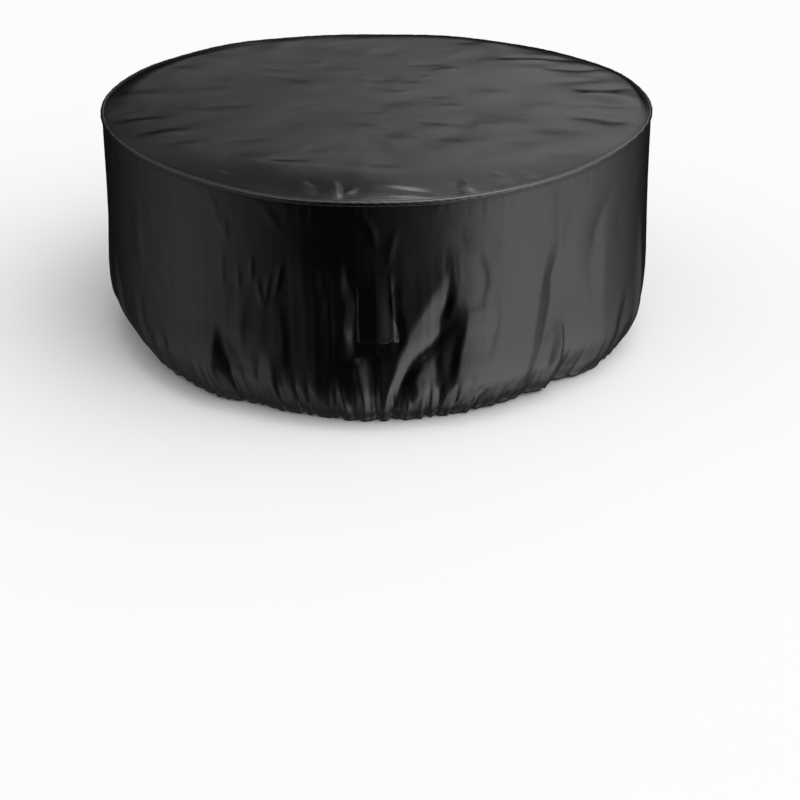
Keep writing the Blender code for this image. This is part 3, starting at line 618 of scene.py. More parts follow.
# Light of the studio by direction: brightness by azimuth below the horizon and above it, and how the
# upper light grows by height from the horizon to overhead.
LOW_LIGHT = (
    (-180, 0.004), (-150, 0.010), (-136, 0.025), (-120, 0.09), (-106, 0.20), (-96, 0.32), (-86, 0.46),
    (-77, 0.52), (-66, 0.46), (-56, 0.32), (-46, 0.22), (-38, 0.13), (-30, 0.05), (-22, 0.012),
    (-10, 0.008), (-4, 0.035), (2, 0.10), (12, 0.19), (24, 0.34), (30, 0.60), (36, 1.15), (44, 1.75),
    (54, 2.20), (64, 2.05), (78, 1.70), (90, 1.40), (98, 0.90), (110, 0.55), (122, 0.26), (138, 0.07),
    (150, 0.015), (180, 0.004),
)
HIGH_LIGHT = (
    (-180, 0.42), (-172, 0.25), (-168, 0.16), (-150, 0.16), (-120, 0.35), (-90, 0.60), (-60, 0.80),
    (-20, 0.80), (15, 1.40), (40, 2.60), (60, 3.00), (90, 2.00), (110, 1.20), (150, 0.62),
    (166, 0.66), (172, 0.60), (180, 0.42),
)
RISE_OF_LIGHT = (
    (0, 0.003), (4, 0.01), (7, 0.05), (10, 0.22), (12.5, 0.54), (15, 0.84), (18, 1.04), (22, 1.20),
    (30, 1.35), (45, 1.60), (60, 1.90), (75, 2.00), (90, 2.20),
)
# Dark screens on both sides behind the object: the share of the upper light that they take, by
# azimuth and by height.
SCREENS = (
    (-180, 0.0), (-169, 0.0), (-163, 0.9), (-125, 0.9), (-105, 0.0), (105, 0.0), (122, 0.9), (160, 0.9),
    (168, 0.35), (174, 0.0), (180, 0.0),
)
SCREEN_HEIGHTS = ((0, 1.0), (16, 1.0), (24, 0.0), (90, 0.0))
# How the light from below fades by height towards straight down.
FALL_OF_LIGHT = ((-90, 0.22), (-80, 0.28), (-70, 0.50), (-56, 0.86), (-45, 1.0), (0, 1.0))
# Light right overhead, by height.
OVERHEAD_LIGHT = ((0, 0.0), (74, 0.0), (80, 0.8), (86, 3.5), (90, 5.0))
# Light from the pale floor, by height below the horizon.
FLOOR_LIGHT = (
    (-90, 0.09), (-75, 0.08), (-60, 0.06), (-46, 0.04), (-34, 0.03), (-24, 0.006), (-20, 0.0), (0, 0.0)
)
# Degrees above and below the horizon over which the lower light gives way to the upper one.
HORIZON_BLEND = 6.0

# Floor: a disc just below the hem.
FLOOR_RADIUS = 40
FLOOR_SIDES = 96
FLOOR_GAP = 0.001
FLOOR_ROUGHNESS = 0.9
# Camera: lens and sensor in millimetres, its place, and how far it looks down in degrees.
CAMERA_LENS = 55.27
CAMERA_SENSOR = 36.0
CAMERA_PLACE = (0.0794, -4.275, 1.172)
CAMERA_TILT = 29.24


def turn_between(azimuth, other):
    """Signed difference of two azimuths, from -180 to 180 degrees."""
    return (azimuth - other + 180.0) % 360.0 - 180.0


def bell(distance, width):
    """Gaussian: 1 at no distance, 1/e at one width."""
    return np.exp(-((distance / width) ** 2))


def crest(distance, width, power):
    """exp(-(distance / half-width) ^ power): a low power gives a sharp crest."""
    return np.exp(-(np.abs(distance / width) ** power))


def smooth_step(share):
    """share ^ 2 x (3 - 2 x share), which stays at 0 below a share of 0 and at 1 above 1."""
    share = np.clip(share, 0.0, 1.0)
    return share**2 * (3 - 2 * share)


def soft_edge(value, sharpness):
    """Logistic curve from 0 below zero to 1 above it: 1 / (1 + exp(-value x sharpness))."""
    return 1 / (1 + np.exp(-value * sharpness))


def waves(azimuth, table):
    """Sum of sines round the cover: size x sin(times x azimuth + phase)."""
    angle = np.radians(azimuth)
    return sum(wave.size * np.sin(wave.times * angle + wave.phase) for wave in table)


def on_circle(azimuth, radius, z):
    """Points at radius x (sin azimuth, -cos azimuth) and height z, with x, y and z last."""
    angle = np.radians(azimuth)
    parts = np.broadcast_arrays(radius * np.sin(angle), -radius * np.cos(angle), z)
    return np.stack(parts, axis=-1)


def fine_azimuths(count):
    """Even turns, shifted towards the front: turn - crowding x sin(turn)."""
    turns = np.arange(count) * 360.0 / count
    return turns - FINE_CROWDING * np.sin(np.radians(turns))


def smooth_through(places, values, at):
    """Cubic Hermite curve through the knots, whose slope at each knot is the mean of its two
    neighbouring slopes."""
    places = np.asarray(places, float)
    values = np.asarray(values, float)
    slopes = np.gradient(values, places)
    k = np.clip(np.searchsorted(places, at, side="right") - 1, 0, len(places) - 2)
    step = places[k + 1] - places[k]
    t = np.clip((at - places[k]) / step, 0.0, 1.0)
    start = values[k] * (2 * t**3 - 3 * t**2 + 1) + slopes[k] * step * (t**3 - 2 * t**2 + t)
    return start + values[k + 1] * (3 * t**2 - 2 * t**3) + slopes[k + 1] * step * (t**3 - t**2)


def smooth_round(azimuths, values, at):
    """The same curve closed round the cover, with three knots repeated past each end."""
    azimuths = list(azimuths)
    values = list(values)
    before = [a - 360 for a in azimuths[-3:]]
    after = [a + 360 for a in azimuths[:3]]
    turned = (np.asarray(at) - azimuths[0]) % 360.0 + azimuths[0]
    return smooth_through(before + azimuths + after, values[-3:] + values + values[:3], turned)


def cord_radius(azimuth):
    """The piping's radius, less a share of two sines where the seam allowance bunches."""
    return CORD_RADIUS - CORD_THINNING * (0.5 + waves(azimuth, CORD_WAVES))


def rim_height(azimuth):
    """Height of the piping's centre: a power of the cosine dips it at the front, a Gaussian lifts
    it at the back left, and two sines make it a bit wavy."""
    dip = FRONT_DIP * np.maximum(np.cos(np.radians(azimuth)), 0.0) ** DIP_POWER
    rise = BACK_RISE * bell(turn_between(azimuth, BACK_RISE_AZIMUTH), BACK_RISE_SPREAD)
    return -RIM_DROP - dip + rise + waves(azimuth, RIM_WAVES)


def fold_relief(azimuth, z, folds):
    """Sum of the folds: relief x exp(-(distance from the fold's path / half-width) ^ power). Along
    the path it swells by a sine, and it fades the same way unless it reaches the hem."""
    relief = np.zeros(np.broadcast(azimuth, z).shape)
    for fold in folds:
        azimuths, depths = np.transpose(fold.path)
        top_z, low_z = depths[0], depths[-1]
        along = (top_z - z) / (top_z - low_z)
        share = np.clip(along, 0.0, 1.0)
        centre = smooth_through(-depths, azimuths, np.clip(-z, -top_z, -low_z))
        across = np.radians(turn_between(azimuth, centre)) * RIM_RADIUS
        left = fold.left[0] + (fold.left[1] - fold.left[0]) * share
        right = fold.right[0] + (fold.right[1] - fold.right[0]) * share
        width = np.where(across < 0, left, right)
        if low_z <= -COVER_DROP:
            fade = np.sin(np.clip(along / FOLD_ONSET, 0.0, 1.0) * np.pi / 2)
        else:
            fade = np.sin(np.pi * share) ** FADE_POWER
        relief += fold.relief * fade * crest(across, width, fold.power)
    return relief


def pleat_relief(azimuth, z):
    """Relief of the pleats: at each depth, straight from one line to the next, with a share of a
    smooth step that rounds the corners."""
    relief = np.zeros(np.broadcast(azimuth, z).shape)
    for lines in PLEATS:
        centres, heights = [], []
        for line in lines:
            azimuths, depths, reliefs = np.transpose(line) * [[1.0], [0.001], [0.001]]
            centres.append(smooth_through(-depths, azimuths, np.clip(-z, -depths[0], -depths[-1])))
            heights.append(np.interp(-z, -depths, reliefs))
        for left, right, low, high in zip(centres, centres[1:], heights, heights[1:]):
            share = turn_between(azimuth, left)
            share = share / np.maximum(turn_between(right, left), PLEAT_LEAST_WIDTH)
            inside = (share >= 0.0) & (share < 1.0)
            share = np.clip(share, 0.0, 1.0)
            share = share + PLEAT_SOFTNESS * (smooth_step(share) - share)
            relief += np.where(inside, low + (high - low) * share, 0.0)
    return relief


def back_fold_paths():
    """The folds at the back with three points each: both ends and the bent middle. They lean to one
    side by turns, so that this side is wider."""
    folds = []
    for number, fold in enumerate(BACK_FOLDS):
        middle = ((fold.top_azimuth + fold.low_azimuth) / 2 + fold.bend, (fold.top_z + fold.low_z) / 2)
        path = ((fold.top_azimuth, fold.top_z), middle, (fold.low_azimuth, fold.low_z))
        lean = BACK_LEAN * (-1) ** number
        left = (fold.top_width * (1 - lean), fold.low_width * (1 - lean))
        right = (fold.top_width * (1 + lean), fold.low_width * (1 + lean))
        folds.append(Fold(path, left, right, fold.relief, FOLD_POWER))
    return folds


def ripples():
    """Small folds at random places of the skirt outside the flap. Each leans by a normal draw, and its
    relief is a random slope of its width, in or out."""
    chance = np.random.default_rng(SEED)
    folds = []
    for _ in range(SKIRT_RIPPLES):
        azimuth = chance.uniform(FLAP_RIGHT + RIPPLE_FLAP_GAP, FLAP_LEFT + 360.0 - RIPPLE_FLAP_GAP)
        top = -COVER_DROP * chance.uniform(*RIPPLE_TOP)
        length = chance.uniform(*RIPPLE_LENGTH)
        low = max(top - length, RIPPLE_LOWEST)
        lean = chance.normal(0.0, RIPPLE_LEAN)
        width = chance.uniform(*RIPPLE_WIDTH)
        left = width * chance.uniform(*RIPPLE_SIDE)
        right = width * chance.uniform(*RIPPLE_SIDE)
        size = chance.uniform(*RIPPLE_SLOPE) * width * chance.choice((-1, 1))
        path = ((azimuth, top), (azimuth + lean, low))
        folds.append(Fold(path, (left, left), (right, right), size, RIPPLE_POWER))
    return folds


def seam_puckers():
    """Short folds that hang from the rim seam, at even places with a random shift."""
    chance = np.random.default_rng(SEED + 1)
    folds = []
    for place in range(SEAM_RIPPLES):
        azimuth = place * 360 / SEAM_RIPPLES + chance.uniform(*SEAM_RIPPLE_SHIFT)
        low = rim_height(azimuth) - chance.uniform(*SEAM_RIPPLE_LENGTH)
        size = chance.uniform(*SEAM_RIPPLE_RELIEF) * chance.choice((-1, 1))
        width = chance.uniform(*SEAM_RIPPLE_WIDTH)
        path = ((azimuth, SEAM_RIPPLE_START), (azimuth + chance.normal(0.0, SEAM_RIPPLE_LEAN), low))
        left = tuple(width * share for share in SEAM_RIPPLE_LEFT)
        right = tuple(width * share for share in SEAM_RIPPLE_RIGHT)
        folds.append(Fold(path, left, right, size, FOLD_POWER))
    return folds


def hem_gather_places():
    """Azimuths, lengths and depths of the gathers. The azimuths are the running sum of uneven steps,
    as a share of the whole turn, and the others are least + spread x chance ^ power."""
    chance = np.random.default_rng(SEED + 2)
    steps = chance.uniform(*HEM_GATHER_STEP, HEM_GATHERS)
    azimuths = np.cumsum(steps) / steps.sum() * 360.0 - 180.0
    lengths, depths = (
        draw.least + draw.spread * chance.uniform(0.0, 1.0, HEM_GATHERS) ** draw.power
        for draw in (HEM_GATHER_LENGTH, HEM_GATHER_DEPTH)
    )
    return azimuths, lengths, depths


def hem_gathers():
    """One pinched fold for each gather of the elastic, deepest at the hem."""
    folds = []
    for azimuth, length, depth in zip(*hem_gather_places()):
        lean = HEM_GATHER_LEAN * (depth - HEM_GATHER_UPRIGHT)
        path = ((azimuth + lean, -COVER_DROP + length), (azimuth, BELOW_HEM))
        folds.append(Fold(path, HEM_GATHER_LEFT, HEM_GATHER_RIGHT, -depth, HEM_GATHER_POWER))
    return folds


SKIRT_FOLDS = (*FRONT_FOLDS, *back_fold_paths())
SMALL_FOLDS = (*ripples(), *seam_puckers(), *hem_gathers())


def hem_pleats(azimuth):
    """Cosine of half a turn for each column of the frame, larger in some places than others."""
    turns = np.linspace(-180.0, 180.0, FRAME_TURNS)
    frame_azimuths = turns - FRAME_CROWDING * np.sin(np.radians(turns))
    turn = np.interp(turn_between(azimuth, 0.0), frame_azimuths, turns)
    bunched = np.sin(np.radians(azimuth) * GATHER_BUNCHES)
    bunched = (1 + GATHER_LEAST) / 2 + (1 - GATHER_LEAST) / 2 * bunched
    return np.cos(np.pi * turn * FRAME_COLUMNS / 360.0) * bunched


def hem_scallops(azimuth):
    """How far the gathers lift the hem, as Gaussians at their places."""
    lift = 0.0
    for place, _, depth in zip(*hem_gather_places()):
        across = np.radians(turn_between(azimuth, place)) * RIM_RADIUS
        lift = lift + SCALLOP_LIFT * depth * bell(across, SCALLOP_WIDTH)
    return lift


def vent_hollow(azimuth, z):
    """The skirt behind the flap's free hem: a smooth step down from its left, then an even rise to
    its right side, with a soft edge above and one below."""
    share = turn_between(azimuth, FLAP_LEFT) / (FLAP_RIGHT - VENT_RIGHT_GAP - FLAP_LEFT)
    side = np.clip(1.0 - share, 0.0, 1.0) * smooth_step((share - VENT_STEP_START) / VENT_STEP)
    low_edge = soft_edge(z - VENT_LOW_Z, VENT_LOW_SHARPNESS)
    high_edge = soft_edge(VENT_HIGH_Z - z, VENT_HIGH_SHARPNESS)
    return -VENT_HOLLOW * side * low_edge * high_edge


def skirt_point(azimuth, drop, small=True):
    """The skirt's outside. Its height runs from the seam to the hem by the drop, and its radius is
    the section's, moved by the hem's sway, the folds and the gathers. The flap follows it without
    the small folds and the hollow."""
    hems = [hem.azimuth for hem in HEM_SWAY]
    outward = smooth_round(hems, [hem.outward for hem in HEM_SWAY], azimuth)
    lift = smooth_round(hems, [hem.lift for hem in HEM_SWAY], azimuth)
    pleat = hem_pleats(azimuth)
    top = rim_height(azimuth) - cord_radius(azimuth) - SEAM_GAP
    bottom = -COVER_DROP + lift + GATHER_LIFT * (1 + pleat) / 2 + hem_scallops(azimuth)
    z = top + (bottom - top) * drop
    drops = [section.drop for section in SKIRT_SECTIONS]
    radius = smooth_through(drops, [section.radius for section in SKIRT_SECTIONS], drop)
    gathered = np.clip((drop - GATHER_START) / (1 - GATHER_START), 0.0, 1.0)
    radius = radius + outward * drop**HEM_SWAY_POWER + GATHER_DEPTH * gathered * pleat
    pulled = np.clip((HEM_PULL_Z - z) / (HEM_PULL_Z + COVER_DROP), 0.0, 1.0) ** HEM_PULL_POWER
    relief = fold_relief(azimuth, z, SKIRT_FOLDS) * (1 - HEM_PULL * pulled)
    relief = relief + pleat_relief(azimuth, z)
    if small:
        relief = relief + fold_relief(azimuth, z, SMALL_FOLDS) + vent_hollow(azimuth, z)
    seam = np.clip(drop / SEAM_SHARE, 0.0, 1.0)
    return radius + relief * seam, z


def skirt_surface(azimuth, drop):
    """Points of the skirt's outside."""
    radius, z = skirt_point(azimuth, drop)
    return on_circle(azimuth, radius, z)


def crease_relief(azimuth, radius, creases):
    """Sum of creases on the panel: height x exp(-(distance across / half-width) ^ power), which
    swells and fades by a sine between both ends."""
    angle = np.radians(azimuth)
    x, y = radius * np.sin(angle), -radius * np.cos(angle)
    relief = np.zeros(np.broadcast(x, y).shape)
    for crease in creases:
        run = np.array((crease.x1 - crease.x0, crease.y1 - crease.y0))
        length = np.hypot(*run)
        along = ((x - crease.x0) * run[0] + (y - crease.y0) * run[1]) / length**2
        across = ((x - crease.x0) * run[1] - (y - crease.y0) * run[0]) / length
        fade = np.sin(np.pi * np.clip(along, 0.0, 1.0))
        relief += crease.height * fade * crest(across, crease.width, FOLD_POWER)
    return relief


def panel_dents():
    """Soft dents and short creases at random places of the panel, most of them lying sideways. A
    place's radius is the root of a draw, which spreads them evenly."""
    chance = np.random.default_rng(SEED + 3)
    creases = []
    for _ in range(PANEL_DENTS):
        azimuth = chance.uniform(0, 2 * np.pi)
        radius = RIM_RADIUS * np.sqrt(chance.uniform(*DENT_REACH))
        turn = chance.normal(0.0, DENT_TURN)
        length = chance.uniform(*DENT_LENGTH)
        width = chance.uniform(*DENT_WIDTH)
        size = chance.uniform(*DENT_SLOPE) * width * chance.choice((-1, 1))
        x, y = radius * np.cos(azimuth), radius * np.sin(azimuth)
        dx, dy = length * np.cos(turn) / 2, length * np.sin(turn) / 2
        creases.append(Crease(x - dx, y - dy, x + dx, y + dy, width, size))
    return creases


ALL_CREASES = (*PANEL_CREASES, *panel_dents())


def panel_relief(azimuth, radius):
    """Waves that grow with the square of the radius, the puckers as Gaussians round the rim and
    along the radius, and the creases."""
    relief = waves(azimuth, PANEL_WAVES) * (radius / RIM_RADIUS) ** 2
    for pucker in PANEL_PUCKERS:
        across = np.radians(turn_between(azimuth, pucker.azimuth)) * radius
        along = radius - pucker.radius
        relief = relief + pucker.height * bell(across, pucker.across) * bell(along, pucker.along)
    return relief + crease_relief(azimuth, radius, ALL_CREASES)


def panel_surface(azimuth, share):
    """The top panel's upper face. Its height is flat with the relief, and blends down to the seam
    by a power of the distance across the shoulder. The edge's falls and the curls are added to it:
    a fall grows from the seam by a power, then dies out inward as a Gaussian."""
    seam = RIM_RADIUS - CORD_RADIUS - PANEL_ON_CORD[0] * cord_radius(azimuth) - SEAM_GAP
    seam_height = rim_height(azimuth) + PANEL_ON_CORD[1] * cord_radius(azimuth)
    radius = seam * share
    inward = seam - radius
    shoulder = np.clip(1 - inward / SHOULDER_WIDTH, 0.0, 1.0) ** SHOULDER_POWER
    calm = smooth_step(share / EDGE_FALL_END)
    flat = panel_relief(azimuth, radius)
    edge = 0.0
    for fall in EDGE_FALLS:
        near = 1 - np.clip(1 - inward / fall.outer, 0.0, 1.0) ** EDGE_FALL_POWER
        near = near * bell(np.maximum(inward - fall.outer, 0.0), fall.inner)
        edge = edge + fall.height * bell(turn_between(azimuth, fall.azimuth), fall.spread) * near * calm
    curls = crease_relief(azimuth, radius, SEAM_CREASES)
    curls = curls * np.clip(inward / SEAM_CREASE_FADE, 0.0, 1.0)
    return on_circle(azimuth, radius, flat + (seam_height - flat) * shoulder + edge + curls)


def flap_surface(azimuth, drop):
    """The vent flap's outside: the skirt's, moved out by a crown that grows towards the free hem,
    the ridges down the flap and the hem's turned band."""
    across = (azimuth - FLAP_LEFT) / (FLAP_RIGHT - FLAP_LEFT)
    fall = (drop - FLAP_TOP) / (FLAP_HEM - FLAP_TOP)
    radius, z = skirt_point(azimuth, drop, small=False)
    sewn = np.sin(np.pi * np.clip(across, 0.0, 1.0))
    off = FLAP_SEAM_GAP + FLAP_STAND_OFF * fall**FLAP_FALL_POWER * sewn
    for ridge in FLAP_RIDGES:
        away = across - ridge.place - ridge.drift * (fall - 0.5)
        width = np.where(away < 0, ridge.left, ridge.right)
        size = ridge.height * np.sin(np.pi * np.clip(fall * RIDGE_RUN + RIDGE_START, 0.0, 1.0))
        size = size * (1 - ridge.swell + ridge.swell * RIDGE_SWELL * fall)
        off = off + size * sewn * crest(away, width, FOLD_POWER)
    band = soft_edge(fall - (1 - FLAP_HEM_BAND), FLAP_HEM_SHARPNESS)
    off = off + FLAP_HEM_RELIEF * band * sewn**FLAP_HEM_POWER
    return on_circle(azimuth, radius + off, z)


def crest_wear_and_sheen(points):
    """Paleness from 0 to 1 where the cloth bulges outward along its rows, partly rubbing and partly a
    painted highlight on the crests: the second difference of the radius over the square of the step, less a
    start, over a span."""
    radius = np.hypot(points[..., 0], points[..., 1])
    step = np.linalg.norm(np.roll(points, -1, axis=1) - points, axis=-1)
    bulge = (2 * radius - np.roll(radius, 1, axis=1) - np.roll(radius, -1, axis=1)) / step**2
    bulge = (np.roll(bulge, 1, axis=1) + 2 * bulge + np.roll(bulge, -1, axis=1)) / 4
    return np.clip((bulge - WEAR_AND_SHEEN_START) / WEAR_AND_SHEEN_SPAN, 0.0, 1.0)


def panel_wear_and_sheen(points):
    """Paleness from 0 to 1 on the panel's crests, partly rubbing and partly a painted highlight: its height
    over the mean of its four neighbours.
    """
    height = points[..., 2]
    mean = (np.roll(height, 1, axis=1) + np.roll(height, -1, axis=1)) / 2
    mean[1:-1] = (mean[1:-1] + (height[2:] + height[:-2]) / 2) / 2
    return np.clip((height - mean) / PANEL_WEAR_AND_SHEEN_HEIGHT, 0.0, 1.0)


def grid_mesh(name, points, round_rows=False, round_columns=False, middle=None, size=(1.0, 1.0), wear=None):
    """Mesh of quads on rows of points, with a UV map in metres whose width and height are given, and an
    attribute for rubbed places and painted highlights. Rows and columns may close on themselves, and a
    middle point closes the first row with a fan."""
    rows, columns = points.shape[:2]
    index = np.arange(rows * columns).reshape(rows, columns)
    if round_rows:
        index = np.hstack([index, index[:, :1]])
    if round_columns:
        index = np.vstack([index, index[:1]])
    u, v = np.meshgrid(np.linspace(0, size[0], index.shape[1]), np.linspace(0, -size[1], index.shape[0]))
    uv = np.stack([u, v], axis=-1)

    def corners(grid):
        return np.stack([grid[1:, :-1], grid[1:, 1:], grid[:-1, 1:], grid[:-1, :-1]], axis=2)

    faces = corners(index).reshape(-1, 4).tolist()
    loops = corners(uv).reshape(-1, 2)
    vertices = points.reshape(-1, 3)
    worn_and_lit = np.zeros(len(vertices)) if wear is None else wear.ravel()
    if middle is not None:
        fan = np.stack([index[0, :-1], index[0, 1:], np.full(columns, len(vertices))], axis=-1)
        faces += fan.tolist()
        vertices = np.vstack([vertices, middle])
        worn_and_lit = np.append(worn_and_lit, 0.0)
        loops = np.vstack([loops, np.zeros((3 * columns, 2))])
    mesh = bpy.data.meshes.new(name)
    mesh.from_pydata(vertices.tolist(), [], faces)
    mesh.uv_layers.new(name="cloth").data.foreach_set("uv", loops.astype(np.float32).ravel())
    mesh.attributes.new("wear", "FLOAT", "POINT").data.foreach_set("value", worn_and_lit.astype(np.float32))
    mesh.shade_smooth()
    return mesh


def stitch_mesh(name, rows):
    """Stitches on rows of places on a surface. Each row is a surface and its two parameters, one of
    each for a stitch, with the side along which the row runs (0 or 1). A stitch is a spindle with
    a point at each end and two rings of four corners, its ends sunk into the cloth. Its axes are
    the surface's two directions there and their cross product."""
    height = STITCH_SIZE[2]
    ring = ((0, 0.5), (0.5, 0), (0, -0.5), (-0.5, 0))
    rings = [(along, *corner) for along in (-0.25, 0.25) for corner in ring]
    shape = np.array([(-0.5, 0, -0.5), *rings, (0.5, 0, -0.5)]) * STITCH_SIZE
    ends = [(0, 1 + (k + 1) % 4, 1 + k) for k in range(4)] + [(9, 5 + k, 5 + (k + 1) % 4) for k in range(4)]
    sides = [(1 + k, 1 + (k + 1) % 4, 5 + (k + 1) % 4, 5 + k) for k in range(4)]
    places, faces = [], []
    count = 0
    for surface, first, second, along in rows:
        first, second = np.broadcast_arrays(np.asarray(first, float), np.asarray(second, float))
        at = surface(first, second)
        across = surface(first + STITCH_STEPS[0], second) - at
        down = surface(first, second + STITCH_STEPS[1]) - at
        out = np.cross(down, across)
        out /= np.linalg.norm(out, axis=-1, keepdims=True)
        run = across if along == 0 else down
        run = run / np.linalg.norm(run, axis=-1, keepdims=True)
        side = np.cross(out, run)
        axes = np.stack([run, side, out], axis=1)
        middle = at + out * height * STITCH_OUT
        places.append((middle[:, None, :] + np.einsum("vk,nkc->nvc", shape, axes)).reshape(-1, 3))
        starts = range(count, count + len(shape) * len(at), len(shape))
        faces += [tuple(start + corner for corner in face) for start in starts for face in ends + sides]
        count += len(shape) * len(at)
    mesh = bpy.data.meshes.new(name)
    mesh.from_pydata(np.vstack(places).tolist(), [], faces)
    mesh.shade_smooth()
    return mesh


def add_object(name, data):
    """An object in the scene for a mesh or a camera."""
    item = bpy.data.objects.new(name, data)
    bpy.context.scene.collection.objects.link(item)
    return item


def add_piece(mesh, finish, nodes=(), thickness=0.0):
    """An object for the mesh, riding on the frame in place of its nodes, with a cloth's thickness
    inward if one is given."""
    mesh.materials.append(finish)
    piece = add_object(mesh.name, mesh)
    if thickness:
        solid = piece.modifiers.new("cloth thickness", "SOLIDIFY")
        solid.thickness = thickness
        solid.offset = -1
    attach(piece, "root")
    if nodes:
        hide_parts(*nodes)
    return piece


class Number:
    """A shader socket in Python expressions: each operator adds a Math node."""

    def __init__(self, nodes, socket):
        self.nodes = nodes
        self.socket = socket

    def __add__(self, other):
        return self.nodes.math("ADD", self, other)

    def __sub__(self, other):
        return self.nodes.math("SUBTRACT", self, other)

    def __rsub__(self, other):
        return self.nodes.math("SUBTRACT", other, self)

    def __mul__(self, other):
        return self.nodes.math("MULTIPLY", self, other)

    __radd__ = __add__


class Nodes:
    """The nodes of a material or of the studio's air."""

    def __init__(self, owner):
        owner.use_nodes = True
        self.tree = owner.node_tree

    def surface(self):
        """The material's own shader."""
        return self.tree.nodes["Principled BSDF"]

    def add(self, kind, settings, values, output=0):
        """Adds a node: its settings first, then its sockets' values or links."""
        node = self.tree.nodes.new(kind)
        for name, value in settings.items():
            if name == "stops":
                self.set_stops(node.color_ramp, value)
            else:
                setattr(node, name, value)
        for name, value in values.items():
            self.put(node.inputs[name], value)
        return Number(self, node.outputs[output])

    def set_stops(self, ramp, stops):
        """Gives a ramp its stops, each a place from 0 to 1 and a grey."""
        ramp.elements.remove(ramp.elements[1])
        ramp.elements[0].position = stops[0][0]
        ramp.elements[0].color = (stops[0][1],) * 3 + (1.0,)
        for place, grey in stops[1:]:
            ramp.elements.new(place).color = (grey, grey, grey, 1.0)

    def put(self, socket, value):
        """Links a number to a socket, or sets the socket's own value."""
        if isinstance(value, Number):
            self.tree.links.new(value.socket, socket)
        else:
            socket.default_value = value

    def math(self, operation, *values):
        """One Math node on the values."""
        return self.add("ShaderNodeMath", {"operation": operation}, dict(enumerate(values)))

    def noise(self, place, noise):
        """Noise from 0 to 1 at a place, by its scale, detail and roughness."""
        values = {"Scale": noise.scale, "Detail": noise.detail, "Roughness": noise.roughness}
        return self.add("ShaderNodeTexNoise", {}, {"Vector": place, **values})

    def mix(self, share, first, second):
        """Colour between two colours."""
        settings = {"data_type": "RGBA", "clamp_factor": True}
        return self.add("ShaderNodeMix", settings, {0: share, 6: first, 7: second}, output=2)

    def between(self, value, low, high):
        """0 below low, 1 above high, smooth between."""
        settings = {"interpolation_type": "SMOOTHSTEP"}
        return self.add("ShaderNodeMapRange", settings, {"Value": value, "From Min": low, "From Max": high})

    def ramp(self, value, stops, start, end):
        """A grey by a value that runs from start to end, through the stops."""
        stops = tuple(((place - start) / (end - start), grey) for place, grey in stops)
        share = (value - start) * (1.0 / (end - start))
        return self.add("ShaderNodeValToRGB", {"stops": stops}, {"Fac": share})

    def weave(self, pitch):
        """Plain weave from -1 to 1: a sine of each UV direction, multiplied."""
        across, down, _ = self.split(self.add("ShaderNodeUVMap", {"uv_map": "cloth"}, {}))
        warp = self.math("SINE", across * (np.pi / pitch))
        weft = self.math("SINE", down * (np.pi / pitch))
        return warp * weft

    def split(self, vector):
        """The three parts of a vector."""
        first = self.add("ShaderNodeSeparateXYZ", {}, {"Vector": vector})
        return [Number(self, part) for part in first.socket.node.outputs]


def shade(colour, factor):
    """The colour times a factor."""
    return tuple(factor * part for part in colour[:3]) + (1.0,)


def coated_cloth(name, colour, settings):
    """Black coated cloth: mottled sheen in soft patches, fine crumples, a faint plain weave, and crests
    rubbed a little paler and duller, where the paler colour is also a painted highlight, as it is on the
    piping's upper side and the flap's hem. Each is a sum of noises, times their shares in it."""
    finish = bpy.data.materials.new(name)
    nodes = Nodes(finish)
    place = nodes.add("ShaderNodeTexCoord", {}, {}, output="Object")
    patches = nodes.noise(place, PATCHES)
    mottle = nodes.noise(place, MOTTLE)
    grain = nodes.noise(place, GRAIN)
    crumple = nodes.noise(place, CRUMPLE)
    # The paler colour on crests is partly rubbed cloth and partly a painted highlight; on the piping's
    # upper side and the flap's hem it is a painted highlight.
    worn_and_lit = nodes.add("ShaderNodeAttribute", {"attribute_name": "wear"}, {}, output="Fac")
    rubbed_and_sheen_mask = worn_and_lit * nodes.between(mottle * RUB_AND_SHEEN_MIX[0] + grain * RUB_AND_SHEEN_MIX[1], *RUB_AND_SHEEN_EDGES)
    pale = nodes.between(patches * PALE_MIX[0] + mottle * PALE_MIX[1], *PALE_EDGES)
    tone = nodes.mix(pale, colour, shade(colour, PALER))
    tone = nodes.mix(rubbed_and_sheen_mask * RUB_AND_SHEEN_TONE, tone, settings.rubbed_and_sheen_colour)
    rough = settings.roughness + ROUGHNESS_SHIFT + patches * ROUGHNESS_MIX[0] + mottle * ROUGHNESS_MIX[1]
    rough = rough + grain * ROUGHNESS_MIX[2] + rubbed_and_sheen_mask * RUBBED_ROUGHNESS
    height = crumple * CRUMPLE_HEIGHT + mottle * MOTTLE_HEIGHT + grain * GRAIN_HEIGHT
    height = height + nodes.weave(settings.weave_pitch) * WEAVE_HEIGHT
    surface = nodes.surface()
    nodes.put(surface.inputs["Base Color"], tone)
    nodes.put(surface.inputs["Roughness"], rough)
    bump = nodes.add("ShaderNodeBump", {}, {"Strength": 1.0, "Distance": 1.0, "Height": height})
    nodes.put(surface.inputs["Normal"], bump)
    return finish


def sewing_thread(name, colour):
    """Black polyester thread: a fine twist of shades along it."""
    finish = bpy.data.materials.new(name)
    nodes = Nodes(finish)
    place = nodes.add("ShaderNodeTexCoord", {}, {}, output="Object")
    twist = nodes.noise(place, TWIST)
    surface = nodes.surface()
    nodes.put(surface.inputs["Base Color"], nodes.mix(twist, shade(colour, THREAD_SHADE), colour))
    nodes.put(surface.inputs["Roughness"], THREAD_ROUGHNESS[0] + twist * THREAD_ROUGHNESS[1])
    surface.inputs["Specular IOR Level"].default_value = THREAD_SPECULAR
    return finish


class CoverSizes(bpy.types.PropertyGroup):
    """Sizes of the cloth pieces."""

    cloth_thickness: FloatProperty(
        name="Cloth thickness",
        description="Thickness of the cloth as modelled",
        default=0.0016,
        unit="LENGTH",
    )
    stitch_pitch: FloatProperty(
        name="Stitch pitch",
        description="Distance from one stitch to the next",
        default=STITCH_PITCH,
        unit="LENGTH",
    )


